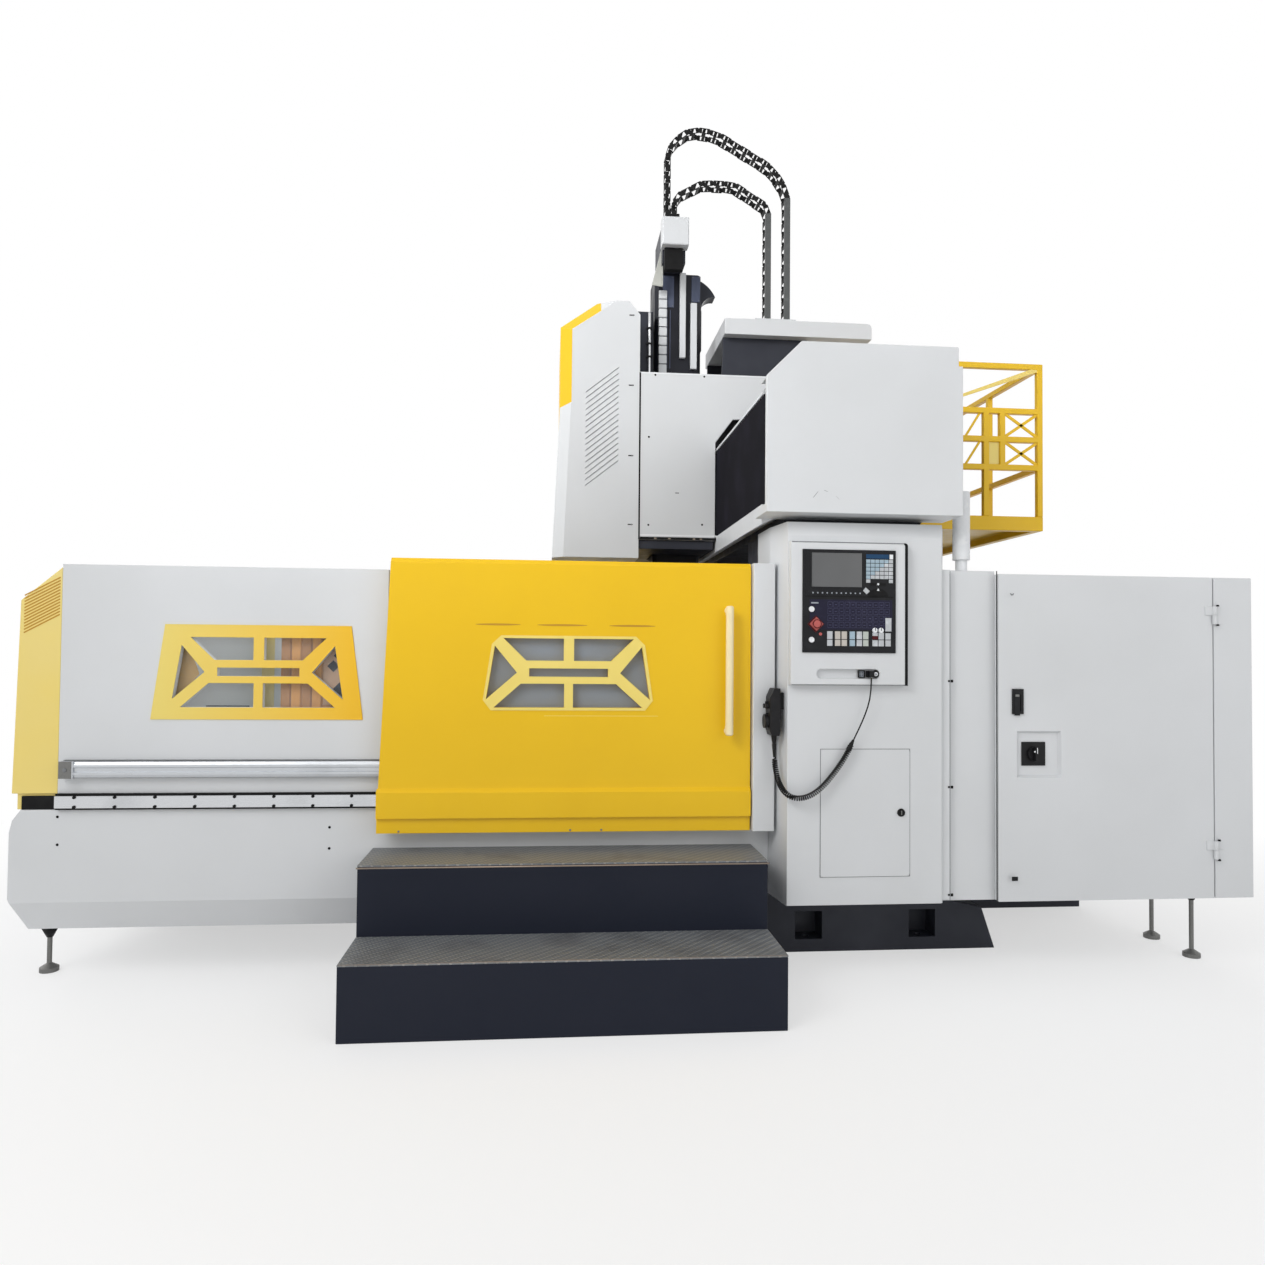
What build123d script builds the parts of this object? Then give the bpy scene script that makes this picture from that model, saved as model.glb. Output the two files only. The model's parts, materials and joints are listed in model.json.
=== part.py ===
from build123d import *
import math
import os

os.makedirs("parts", exist_ok=True)

# Gantry machining centre. Millimetres, +Z up, floor at z = 0.
# +X runs along the table travel, the operator stands on the -Y side, and the
# origin is the floor point under the middle of the portal.

# Main sizes: the machine's length, width and height follow these
guard_reach = 3590       # portal's middle to the guard's free end
cab_width = 1190
portal_half_width = 850  # clear width between the columns, halved
beam_clearance = 1090.5  # table top to the beam's underside

# Fits and clearances
slide_gap = 0.5        # guide shoe to rail
free_gap = 8           # moving piece to a fixed one
leaf_gap = 6           # round the edge of a door leaf

# Bed and table
bed_front_x = -guard_reach + 260
bed_back_x = 1640
bed_half_width = 600
bed_height = 640
trough_half_width = 260
trough_depth = 120
way_width = 90
way_height = 45
way_y = 380
table_length = 2000
table_x0 = -2150
table_half_width = 620
table_thick = 214
table_z0 = bed_height + way_height + slide_gap
table_top_z = table_z0 + table_thick
slot_pitch = 140
slot_count = 7
slot_width = 18
slot_depth = 32
slot_foot = 32
slot_foot_height = 14
way_cover_height = 155
way_cover_shoulder = 70
way_cover_steps = 5
way_cover_drop = 9
way_cover_inset = 20

# Portal
column_half_x = 330
column_width = 410
column_inner_y = portal_half_width
column_outer_y = column_inner_y + column_width
beam_half_length = column_outer_y + 300
bridge_drop = 60
beam_bottom_z = table_top_z + beam_clearance
beam_height = 710
beam_top_z = beam_bottom_z + beam_height
beam_front_x = -column_half_x
beam_back_x = column_half_x + 20
beam_edge = 60
foot_flare_x = column_half_x + 470
foot_slope = 65
foot_height = 195
foot_shoulder = 130
foot_shoulder_z = 255
foot_root = 20
foot_root_z = 525
anchor_r = 14
anchor_x0 = -120
anchor_x1 = 437
anchor_y = column_outer_y - 55
pocket_width = 130
pocket_depth = 110
pocket_z0 = 60
pocket_z1 = 190

# Operator housing on the near column
cover_half_x = column_half_x + 15
cover_front_y = -beam_half_length - 140
cover_side_x = -cover_half_x - 29
cover_z0 = 340
cover_z1 = beam_bottom_z - 10
cover_crease_z = cover_z1 - 60
cover_lean = 14
cover_edge = 8
panel_x0 = -cover_half_x + 4
panel_width = 513
panel_x1 = panel_x0 + panel_width
panel_height = 614
panel_z1 = cover_crease_z - 29
panel_z0 = panel_z1 - panel_height
panel_depth = 34
panel_edge = 6
seam_width = 13
seam_depth = 20
socket_x0 = panel_x0 + 113
socket_x1 = socket_x0 + 276
socket_z = panel_z0 + 50
socket_height = 40
socket_depth = 20
plug_proud = 22
plug_half_z = 14
plug_length = 66
plug_x1 = socket_x1 - 8
unit_x0 = panel_x0 + 49
unit_width = 408
unit_z0 = panel_z0 + 140
unit_height = 440
unit_depth = 8
unit_edge = 2
screen_dx = 38
screen_width = 222
screen_dz = 279
screen_height = 147
screen_depth = 3
key_dx = 279
key_width = 118
key_dz = 264
key_height = 168
key_rows = 8
key_columns = 6
key_gap_x = 5
key_gap_z = 6
key_proud = 2
button_r = 11
button_dzs = (186, 50)
button_proud = 7
stop_r = 18
stop_dx = 55
stop_dz = 118
stop_proud = 24
access_x0 = -cover_half_x + 146
access_width = 392
access_z0 = cover_z0 + 121
access_height = 542
access_corner = 12
access_thick = 3
lock_r = 16
lock_proud = 5
lock_inset = 38

# Cabinet and duct housing
duct_x0 = cover_half_x
duct_x1 = duct_x0 + 255
duct_front_y = cover_front_y + 45
duct_rise = 15
duct_post = 42
cab_x0 = duct_x1
cab_x1 = cab_x0 + cab_width
cab_front_y = cover_front_y + 10
cab_depth = 600
cab_z0 = cover_z0
cab_z1 = beam_bottom_z - 220
cab_wall = 20
cab_foot_x = cab_x1 - 113
cab_foot_ys = (cab_front_y + 247, cab_front_y + 530)
mount_plate_inset = 90
mount_plate_thick = 25
foot_pad_r = 38
foot_pad_height = 18
foot_rod_r = 10
foot_collar_r = 33
foot_collar_height = 34
leaf_thick = 24
leaf_inset = 30
hinge_x = cab_x1 - 185
hinge_y = cab_front_y - 9
hinge_r = 9
hinge_pin_r = 4
pin_gap = 0.05
hinge_length = 80
hinge_reach = 40
hinge_low_z = cab_z0 + 214
hinge_high_z = cab_z1 - 170
hinge_plate = 4
niche_x = cab_x0 + 186
niche_z = cab_z0 + 639
niche_size = 204
niche_depth = 16
niche_slope = 30
plate_width = 108
plate_height = 104
plate_thick = 5
plate_dx = -20
plate_dz = 2
knob_r = 30
knob_height = 12
grip_width = 16
grip_height = 20
handle_x0 = cab_x0 + 61
handle_width = 50
handle_z0 = cab_z0 + 816
handle_height = 110
handle_proud = 8
handle_rim = 12

# Beam covers
end_cover_x0 = beam_front_x - 127
end_cover_x1 = beam_back_x + 53
end_cover_z0 = beam_bottom_z + 18
end_cover_z1 = end_cover_z0 + 730
end_cover_step = 19
end_cover_step_z = end_cover_z1 - 83
end_cover_depth = 209
end_cover_plate = 30
end_cover_chamfer = 150
end_cover_lip = 38
bellows_front_x = beam_front_x - 97
bellows_z0 = beam_bottom_z + 88
bellows_z1 = beam_bottom_z + 570
fold_pitch = 36
fold_depth = 16
strip_z0 = beam_bottom_z - 3
strip_z1 = bellows_z1 + 46
strip_gap = 4
strip_slope = 40
strip_edge = 30

# Saddle and ram
rail_width = 60
rail_height = 40
rail_low_z = beam_bottom_z + 160
rail_high_z = beam_bottom_z + 500
saddle_half_y = 434
saddle_x0 = beam_front_x - 538
saddle_x1 = beam_front_x - 110
saddle_z0 = beam_bottom_z + 10
saddle_z1 = beam_top_z + 285
arm_x1 = 90
arm_z0 = beam_top_z + 65
guide_x1 = saddle_x0 + 102
guide_half_y = 200
guide_z1 = saddle_z1 + 456
cover_sheet = 16
side_z0 = saddle_z0 + 50
side_x1 = bellows_front_x - 6
ram_x0 = saddle_x0 + 118
ram_x1 = ram_x0 + 280
ram_half_y = 140
ram_z0 = beam_bottom_z - 340
ram_length = 2050
ram_z1 = ram_z0 + ram_length
ram_edge = 20
shoe_height = 120
shoe_half_width = 80
shaft_step_z = arm_z0 - 190
hose_slot_z = arm_z0 - 25
hose_slot_half = 60
hose_half = 50
hose_x1 = ram_x1 + 102
hose_tip_z = ram_z1 - 94
hose_neck = 18
hose_tail = 440
nose_r = 105
nose_length = 150
nose_step = 25
mast_x0 = ram_x0 + 25
mast_x1 = mast_x0 + 135
mast_y0 = -290
mast_z1 = ram_z1 + 240
box_width = 157
box_height = 165
box_depth = 80
box_proud = 12
duct_depth = 26
cable_duct_x0 = ram_x0 + 148
cable_duct_width = 36
cable_duct_z0 = saddle_z1 + 200
side_duct_x0 = ram_x0 + 214
side_duct_width = 38
side_duct_z0 = saddle_z1 + 135
side_duct_z1 = ram_z1 - 180
rack_x0 = ram_x0 + 22
rack_width = 48
rack_z0 = saddle_z1 + 105
rack_pitch = 56
rack_block = 50
rack_count = 9
rack_inset = 10
rack_spine = 8
head_x0 = saddle_x0 - 448
head_foot_x = head_x0 - 36
head_z0 = saddle_z0 - 55
head_waist_z = head_z0 + 840
head_z1 = saddle_z1 + 415
head_shoulder_z = head_z1 - 145
head_top_x = head_x0 + 207
head_back_x = saddle_x0 - 62
head_back_drop = 75
head_half_y = 450
head_edge = 62
louvre_x0 = head_x0 + 146
louvre_x1 = louvre_x0 + 182
louvre_z0 = head_z0 + 400
louvre_rise = 145
louvre_pitch = 33
louvre_count = 17
louvre_width = 6
louvre_depth = 10
deck_x0 = hose_x1 + 8
deck_x1 = deck_x0 + 884
deck_half_y = 330
deck_z0 = saddle_z1 + 296
deck_z1 = deck_z0 + 94
deck_wall = 15
deck_corner = 30
chain_foot_height = 34
chain_foot_half = 60
gusset_thick = 20
gusset_inset = 60

# Energy chains
chain_y = -200
chain_width = 84
chain_depth = 32
link_pitch = 67
link_plate = 4
link_gap = 0.4
link_overlap = 12
link_window = 24
link_window_length = 30
link_bar = 18
bar_thick = 3
chain_end_gap = 0.3
outer_chain_x0 = mast_x0 + 35
outer_chain_x1 = deck_x0 + 394
outer_chain_z1 = mast_z1 + 590
inner_chain_x0 = mast_x0 + 75
inner_chain_x1 = outer_chain_x1 - 117
inner_chain_z1 = mast_z1 + 275

# Near guard
guard_y = cover_front_y + 210
guard_x0 = -guard_reach + 190
lower_x0 = -guard_reach
lower_z0 = 222
lower_bend_z = 347
lower_set_back = 60
lower_z1 = 733
lower_corner = 45
lower_corner_z = 100
lower_foot_corner = 55
upper_z1 = beam_bottom_z - 228
sill_height = 60
left_sheet = 1343
open_x0 = guard_x0 + left_sheet
strip_x1 = cover_side_x
strip_x0 = strip_x1 - 97
sheet = 30
wall_x0 = lower_x0 + 60
wall_thick = 40
wall_z1 = upper_z1 - 162
end_panel_z0 = 800
end_panel_x0 = lower_x0 + 8
end_panel_z1 = upper_z1 - 154
end_panel_lean = 18
end_panel_drop = 12
door_y0 = guard_y - 100
door_y1 = guard_y - 55
door_face_y = guard_y - 84
door_z0 = 637
door_strip_z = 701
door_skirt_z = 826
door_z1 = upper_z1 + 45
door_lean = 45
door_crease = 20
door_crease_depth = 14
carriage_length = 120
carriage_lip = 8
carriage_inset = 160
track_z0 = 742
track_height = 50
track_proud = 25
track_groove = 8
cyl_x0 = guard_x0 + 24
cyl_z0 = 870
cyl_height = 65
cyl_proud = 40
cyl_head = 55
cyl_edge = 8
cyl_groove_z = 22
cyl_groove = 6
grip_x = strip_x0 - 109
grip_z0 = 1054
grip_z1 = door_z1 - 191
grip_bar = 34
grip_reach = 46
window_x = (open_x0 + strip_x0) / 2 - 11
window_z = 1320
left_window_x = guard_x0 + 804
left_window_z = 1312
plate_top_half = 386
plate_low_half = 439
plate_half_z = 202
plate_sheet = 4
glass_thick = 8
glass_half_x = 380
glass_half_z = 170
guard_foot_x = lower_x0 + 72
guard_foot_y = -guard_y - 198
rear_guard_gap = 30
rear_guard_z0 = 300
rear_guard_z1 = 980
rear_guard_half_y = column_inner_y - 50

# Steps
step_x0 = open_x0 - 48
step_x1 = strip_x0 + 16
step_depth = 325
step_rise = 280
tread_thick = 6

# Platform behind the beam
deck_floor_z = beam_bottom_z + 105
floor_thick = 35
floor_edge = 70
floor_root = 60
floor_frame = 40
plat_x1 = beam_back_x + 698
plat_half_y = column_outer_y + 9
rail_x0 = beam_back_x + 80
rail_top_z = deck_floor_z + 755
post_w = 28
post_count = 6
bay_bar_zs = (deck_floor_z + 227, deck_floor_z + 365, deck_floor_z + 505)
bay_post_xs = (plat_x1 - 303, plat_x1 - 220)

# Conduit, pendant and its cords
tube_x = end_cover_x1 + 61
tube_y = cover_front_y + 81
tube_r = 37
tube_nipple_r = 25
tube_nipple = 50
tube_z1 = end_cover_z0 + 130
pendant_x = cover_side_x - 20
pendant_y = cover_front_y + 52
pendant_z0 = 1060
pendant_z1 = 1262
pendant_thick = 46
pendant_width = 84
pendant_edge = 5
wheel_r = 30
wheel_dz = 60
wheel_proud = 18
selector_r = 10
selector_dy = 18
selector_dz = 125
selector_proud = 16
gland_x = pendant_x + 4
gland_r = 13
gland_drop = 38
hook_half = 12
hook_dz = 90
hook_length = 70
cord_r = 13
lead_r = 4
lead_y = cover_front_y - 29
lead_start = (-68, lead_y, 1041)


def block(x0, x1, y0, y1, z0, z1, mode=Mode.ADD):
    """Straight block between six limits, added to or cut from the open part."""
    with Locations(((x0 + x1) / 2, (y0 + y1) / 2, (z0 + z1) / 2)):
        Box(x1 - x0, y1 - y0, z1 - z0, mode=mode)


def side_profile(points, y0, y1, mode=Mode.ADD):
    """Outline in X and Z drawn at y1 and carried to y0 (y0 < y1)."""
    with BuildSketch(Plane.XZ.offset(-y1)) as outline:
        with BuildLine():
            Polyline(*points, close=True)
        make_face()
    extrude(outline.sketch, amount=y1 - y0, mode=mode)


def end_profile(points, x0, x1, mode=Mode.ADD):
    """Outline in Y and Z drawn at x0 and carried to x1."""
    with BuildSketch(Plane.YZ.offset(x0)) as outline:
        with BuildLine():
            Polyline(*points, close=True)
        make_face()
    extrude(outline.sketch, amount=x1 - x0, mode=mode)


def window_shapes():
    """The seven openings of a window as outlines about its centre."""
    half = [
        [(22, 148), (281, 148), (183, 52), (22, 52)],
        [(19, -47), (205, -47), (320, -150), (19, -150)],
        [(317, 115), (222, 0), (353, -115)],
    ]
    mirrored = [[(-x, z) for x, z in shape] for shape in half]
    return half + mirrored + [[(-170, 19), (170, 19), (170, -17), (-170, -17)]]


def cut_window(cx, cz, y0, y1):
    """Cuts the window openings through a sheet that lies between y0 and y1."""
    for shape in window_shapes():
        side_profile([(cx + x, cz + z) for x, z in shape], y0 - 1, y1 + 1, Mode.SUBTRACT)


def levelling_foot(x, y, z_top):
    """Round pad with a sloping top, a threaded rod and a collar under what it carries."""
    radii = [(0, 0), (foot_pad_r, 0), (foot_pad_r, foot_pad_height), (foot_rod_r, 2 * foot_pad_height),
             (foot_rod_r, z_top - foot_collar_height), (foot_collar_r, z_top), (0, z_top)]
    with BuildSketch(Plane.XZ.offset(-y)) as outline:
        with BuildLine():
            Polyline(*[(x + r, z) for r, z in radii], close=True)
        make_face()
    revolve(outline.sketch, axis=Axis((x, y, 0), (0, 0, 1)))


def make_bed():
    with BuildPart() as bed:
        half = bed_half_width
        trough = trough_half_width
        floor = bed_height - trough_depth
        section = [(-half, 0), (half, 0), (half, bed_height), (trough, bed_height), (trough, floor),
                   (-trough, floor), (-trough, bed_height), (-half, bed_height)]
        end_profile(section, bed_front_x, bed_back_x)
        for side in (-1, 1):
            block(bed_front_x, bed_back_x, side * way_y - way_width / 2, side * way_y + way_width / 2,
                  bed_height, bed_height + way_height)
    return bed.part


def make_worktable():
    """Table with a row of T-slots, drawn as one end outline."""
    with BuildPart() as worktable:
        x1 = table_x0 + table_length
        block(table_x0, x1, -table_half_width, table_half_width, table_z0, table_top_z)
        with BuildSketch(Plane.YZ.offset(table_x0)):
            with GridLocations(slot_pitch, 0, slot_count, 1):
                with Locations((0, table_top_z - slot_depth / 2)):
                    Rectangle(slot_width, slot_depth)
                with Locations((0, table_top_z - slot_depth + slot_foot_height / 2)):
                    Rectangle(slot_foot, slot_foot_height)
        extrude(amount=table_length, mode=Mode.SUBTRACT)
    return worktable.part


def make_way_covers():
    """Telescopic covers from the table to both ends of the bed."""
    with BuildPart() as way_covers:
        low = bed_height + way_height
        for start, end in ((table_x0, bed_front_x), (table_x0 + table_length, bed_back_x)):
            step = (end - start) / way_cover_steps
            for i in range(way_cover_steps):
                top = low + way_cover_height - i * way_cover_drop
                half = table_half_width - way_cover_inset + i * way_cover_drop / 2
                side_z = top - way_cover_shoulder
                section = [(-half, low), (half, low), (half, side_z), (0, top), (-half, side_z)]
                a = start + i * step
                end_profile(section, min(a, a + step), max(a, a + step))
    return way_covers.part


def make_column(side):
    with BuildPart() as column:
        y0 = min(side * column_inner_y, side * column_outer_y)
        y1 = max(side * column_inner_y, side * column_outer_y)
        outline = [
            (-column_half_x, 0), (foot_flare_x, 0), (foot_flare_x - foot_slope, foot_height),
            (column_half_x + foot_shoulder, foot_shoulder_z), (column_half_x + foot_root, foot_root_z),
            (column_half_x, beam_bottom_z), (-column_half_x, beam_bottom_z),
        ]
        side_profile(outline, y0, y1)
        yb0 = min(side * bed_half_width, side * column_inner_y)
        yb1 = max(side * bed_half_width, side * column_inner_y)
        block(-column_half_x, column_half_x, yb0, yb1, 0, bed_height - bridge_drop)
        outer = side * column_outer_y
        yp0 = min(outer + side, outer - side * pocket_depth)
        yp1 = max(outer + side, outer - side * pocket_depth)
        for x in (anchor_x0, anchor_x1):
            block(x - pocket_width / 2, x + pocket_width / 2, yp0, yp1, pocket_z0, pocket_z1, Mode.SUBTRACT)
            with Locations((x, side * anchor_y, pocket_z0 / 2)):
                Cylinder(anchor_r, pocket_z0 + 2, mode=Mode.SUBTRACT)
    return column.part


def make_crossbeam():
    with BuildPart() as crossbeam:
        outline = [
            (beam_front_x, beam_bottom_z), (beam_back_x - beam_edge, beam_bottom_z),
            (beam_back_x, beam_bottom_z + beam_edge), (beam_back_x, beam_top_z - beam_edge),
            (beam_back_x - beam_edge, beam_top_z), (beam_front_x, beam_top_z),
        ]
        side_profile(outline, -beam_half_length, beam_half_length)
        for z in (rail_low_z, rail_high_z):
            block(beam_front_x - rail_height, beam_front_x, -beam_half_length + 20, beam_half_length - 20,
                  z - rail_width / 2, z + rail_width / 2)
    return crossbeam.part


def make_column_cover(side):
    """Sheet housing in front of a column, with a leaning top and a splayed side."""
    with BuildPart() as column_cover:
        front = cover_front_y
        back = -column_outer_y
        with BuildSketch(Plane.XY.offset(cover_z0)):
            with BuildLine():
                Polyline((-cover_half_x, front), (cover_half_x, front), (cover_half_x, back),
                         (cover_side_x, back), (cover_side_x, guard_y), close=True)
            make_face()
        extrude(amount=cover_z1 - cover_z0)
        lean = [(front - 1, cover_crease_z), (front, cover_crease_z), (front + cover_lean, cover_z1),
                (front + cover_lean, cover_z1 + 1), (front - 1, cover_z1 + 1)]
        end_profile(lean, cover_side_x - 1, cover_half_x + 1, Mode.SUBTRACT)
        upright = column_cover.edges().filter_by(Axis.Z)
        corner = upright.filter_by_position(Axis.X, cover_half_x - 1, cover_half_x + 1)
        chamfer(corner.sort_by(Axis.Y)[0], cover_edge)
        if side < 0:
            block(panel_x1, panel_x1 + seam_width, front - 1, front + seam_depth,
                  panel_z0, panel_z1, Mode.SUBTRACT)
        else:
            mirror(about=Plane.XZ, mode=Mode.REPLACE)
    return column_cover.part


def make_beam_end_cover(side):
    """Plate with a box behind it; the bellows enter under its side flange."""
    with BuildPart() as beam_end_cover:
        c = end_cover_chamfer
        step_x = end_cover_x1 - end_cover_step
        outline = [
            (end_cover_x0, end_cover_z0), (end_cover_x1, end_cover_z0), (end_cover_x1, end_cover_step_z),
            (step_x, end_cover_step_z), (step_x, end_cover_z1), (end_cover_x0 + c, end_cover_z1),
            (end_cover_x0, end_cover_z1 - c),
        ]
        y0 = beam_half_length
        y1 = beam_half_length + end_cover_depth
        side_profile(outline, y0, y1)
        block(end_cover_x0 - 1, beam_front_x, y0 - 1, y1 - end_cover_plate,
              end_cover_z0 + end_cover_lip, strip_z1 + strip_gap, Mode.SUBTRACT)
        if side < 0:
            mirror(about=Plane.XZ, mode=Mode.REPLACE)
    return beam_end_cover.part


def make_beam_end_covers():
    with BuildPart() as beam_end_covers:
        for side in (-1, 1):
            add(make_beam_end_cover(side))
    return beam_end_covers.part


def make_beam_strips():
    """Cover strips above and below the bellows."""
    with BuildPart() as beam_strips:
        half = beam_half_length
        low_top = bellows_z0 - strip_gap
        low = [(bellows_front_x, strip_z0), (beam_front_x, strip_z0 + strip_slope), (beam_front_x, low_top),
               (bellows_front_x, low_top)]
        side_profile(low, -half, half)
        high_z = bellows_z1 + strip_gap
        high = [(bellows_front_x, high_z), (beam_front_x, high_z), (beam_front_x, strip_z1),
                (bellows_front_x + strip_edge, strip_z1), (bellows_front_x, strip_z1 - strip_edge)]
        side_profile(high, -half, half)
    return beam_strips.part


def make_bellows(side):
    """Folded bellows from the saddle to the end cover, drawn from above."""
    with BuildPart() as bellows:
        start = saddle_half_y + cover_sheet + 2
        end = beam_half_length + end_cover_depth - end_cover_plate
        count = round((end - start) / fold_pitch)
        pitch = (end - start) / count
        x_in = beam_front_x - rail_height - 6
        x_valley = bellows_front_x + fold_depth
        points = [(x_in, side * start), (x_valley, side * start)]
        for i in range(count):
            points.append((bellows_front_x, side * (start + (i + 0.5) * pitch)))
            points.append((x_valley, side * (start + (i + 1) * pitch)))
        points.append((x_in, side * end))
        with BuildSketch(Plane.XY.offset(bellows_z0)) as outline:
            with BuildLine():
                Polyline(*points, close=True)
            make_face()
        extrude(amount=bellows_z1 - bellows_z0)
    return bellows.part


def make_operator_panel():
    with BuildPart() as operator_panel:
        front = cover_front_y - panel_depth
        edge = panel_edge
        outline = [(cover_front_y, panel_z0), (cover_front_y, panel_z1), (front + edge, panel_z1),
                   (front, panel_z1 - edge), (front, panel_z0 + edge), (front + edge, panel_z0)]
        end_profile(outline, panel_x0, panel_x1)
        with BuildSketch(Plane.XZ.offset(-front)):
            with Locations(((socket_x0 + socket_x1) / 2, socket_z)):
                SlotOverall(socket_x1 - socket_x0, socket_height)
        extrude(amount=-socket_depth, mode=Mode.SUBTRACT)
    return operator_panel.part


def make_control_unit():
    """Screen and keypad housing; the screen lies in a shallow recess."""
    with BuildPart() as control_unit:
        back = cover_front_y - panel_depth
        front = back - unit_depth
        block(unit_x0, unit_x0 + unit_width, front, back, unit_z0, unit_z0 + unit_height)
        chamfer(control_unit.faces().sort_by(Axis.Y)[0].edges(), unit_edge)
        x = unit_x0 + screen_dx
        z = unit_z0 + screen_dz
        block(x, x + screen_width, front - 1, front + screen_depth, z, z + screen_height, Mode.SUBTRACT)
    return control_unit.part


def make_control_keys():
    """Keypad keys, two round push buttons and the stop button."""
    with BuildPart() as control_keys:
        face = -(cover_front_y - panel_depth - unit_depth)
        key_x = key_width / key_columns
        key_z = key_height / key_rows
        with BuildSketch(Plane.XZ.offset(face)):
            with Locations((unit_x0 + key_dx + key_width / 2, unit_z0 + key_dz + key_height / 2)):
                with GridLocations(key_x, key_z, key_columns, key_rows):
                    Rectangle(key_x - key_gap_x, key_z - key_gap_z)
        extrude(amount=key_proud)
        with BuildSketch(Plane.XZ.offset(face)):
            with Locations([(unit_x0 + screen_dx, unit_z0 + dz) for dz in button_dzs]):
                Circle(button_r)
        extrude(amount=button_proud)
        with BuildSketch(Plane.XZ.offset(face)):
            with Locations((unit_x0 + stop_dx, unit_z0 + stop_dz)):
                Circle(stop_r)
        extrude(amount=stop_proud, taper=8)
    return control_keys.part


def make_pendant_socket():
    """Plug of the pendant's lead in the slot of the operator panel."""
    with BuildPart() as pendant_socket:
        front = cover_front_y - panel_depth
        block(plug_x1 - plug_length, plug_x1, front - plug_proud, front + socket_depth,
              socket_z - plug_half_z, socket_z + plug_half_z)
    return pendant_socket.part


def make_access_cover():
    with BuildPart() as access_cover:
        with BuildSketch(Plane.XZ.offset(-cover_front_y)):
            with Locations((access_x0 + access_width / 2, access_z0 + access_height / 2)):
                RectangleRounded(access_width, access_height, access_corner)
        extrude(amount=access_thick)
        with BuildSketch(Plane.XZ.offset(-cover_front_y + access_thick)):
            with Locations((access_x0 + access_width - lock_inset, access_z0 + access_height / 2)):
                Circle(lock_r)
        extrude(amount=lock_proud)
    return access_cover.part


def make_duct_housing():
    with BuildPart() as duct_housing:
        top = cab_z1 + duct_rise
        block(duct_x0, duct_x1, duct_front_y, -column_outer_y, cover_z0, top)
        block(duct_x0, duct_x0 + duct_post, cover_front_y + 20, duct_front_y, cover_z0 + 10, top)
        chamfer(duct_housing.edges().filter_by(Axis.Z).sort_by(Axis.Y)[0:2], 3)
    return duct_housing.part


def make_cabinet():
    """Hollow cabinet; its leaf covers the front up to a fixed strip on the hinge side."""
    with BuildPart() as cabinet:
        y0 = cab_front_y + leaf_thick + slide_gap
        y1 = cab_front_y + cab_depth
        block(cab_x0, cab_x1, y0, y1, cab_z0, cab_z1)
        block(hinge_x + leaf_gap / 2, cab_x1, cab_front_y, y0, cab_z0, cab_z1)
        block(cab_x0 + cab_wall, cab_x1 - cab_wall, y0 + cab_wall, y1 - cab_wall,
              cab_z0 + cab_wall, cab_z1 - cab_wall, Mode.SUBTRACT)
        block(cab_x0 + leaf_inset, hinge_x - leaf_inset, y0 - 1, y0 + cab_wall + 1,
              cab_z0 + leaf_inset, cab_z1 - leaf_inset, Mode.SUBTRACT)
    return cabinet.part


def make_cabinet_plate():
    with BuildPart() as cabinet_plate:
        y1 = cab_front_y + cab_depth - cab_wall
        inset = mount_plate_inset
        block(cab_x0 + inset, cab_x1 - inset, y1 - mount_plate_thick, y1, cab_z0 + inset, cab_z1 - inset)
    return cabinet_plate.part


def hinge_points(side):
    """Plate of one hinge half, from its free edge to the barrel, seen from above."""
    y0 = cab_front_y
    edge = hinge_x + side * hinge_reach
    neck = hinge_r + 3
    return [(edge, y0), (edge, y0 - hinge_plate), (hinge_x + side * neck, y0 - hinge_plate),
            (hinge_x + side * 3, hinge_y - 3), (hinge_x, hinge_y + 5), (hinge_x + side * hinge_r, y0)]


def make_cabinet_door():
    with BuildPart() as cabinet_door:
        y0 = cab_front_y
        block(cab_x0, hinge_x - leaf_gap / 2, y0, y0 + leaf_thick, cab_z0, cab_z1)
        with BuildSketch(Plane.XZ.offset(-y0)):
            with Locations((niche_x, niche_z)):
                Rectangle(niche_size, niche_size)
        extrude(amount=-niche_depth, taper=niche_slope, mode=Mode.SUBTRACT)
        for z in (hinge_low_z, hinge_high_z):
            with BuildSketch(Plane.XY.offset(z + slide_gap)):
                with Locations((hinge_x, hinge_y)):
                    Circle(hinge_r)
                with BuildLine():
                    Polyline(*hinge_points(-1), close=True)
                make_face()
                with Locations((hinge_x, hinge_y)):
                    Circle(hinge_pin_r + pin_gap, mode=Mode.SUBTRACT)
            extrude(amount=hinge_length / 2 - slide_gap)
    return cabinet_door.part


def make_cabinet_hinges():
    """Fixed halves of the hinges, with the pins that the leaf turns on."""
    with BuildPart() as cabinet_hinges:
        for z in (hinge_low_z, hinge_high_z):
            with BuildSketch(Plane.XY.offset(z - hinge_length / 2)):
                with Locations((hinge_x, hinge_y)):
                    Circle(hinge_r)
                with BuildLine():
                    Polyline(*hinge_points(1), close=True)
                make_face()
            extrude(amount=hinge_length / 2)
            with BuildSketch(Plane.XY.offset(z)):
                with Locations((hinge_x, hinge_y)):
                    Circle(hinge_pin_r)
            extrude(amount=hinge_length / 2)
    return cabinet_hinges.part


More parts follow.
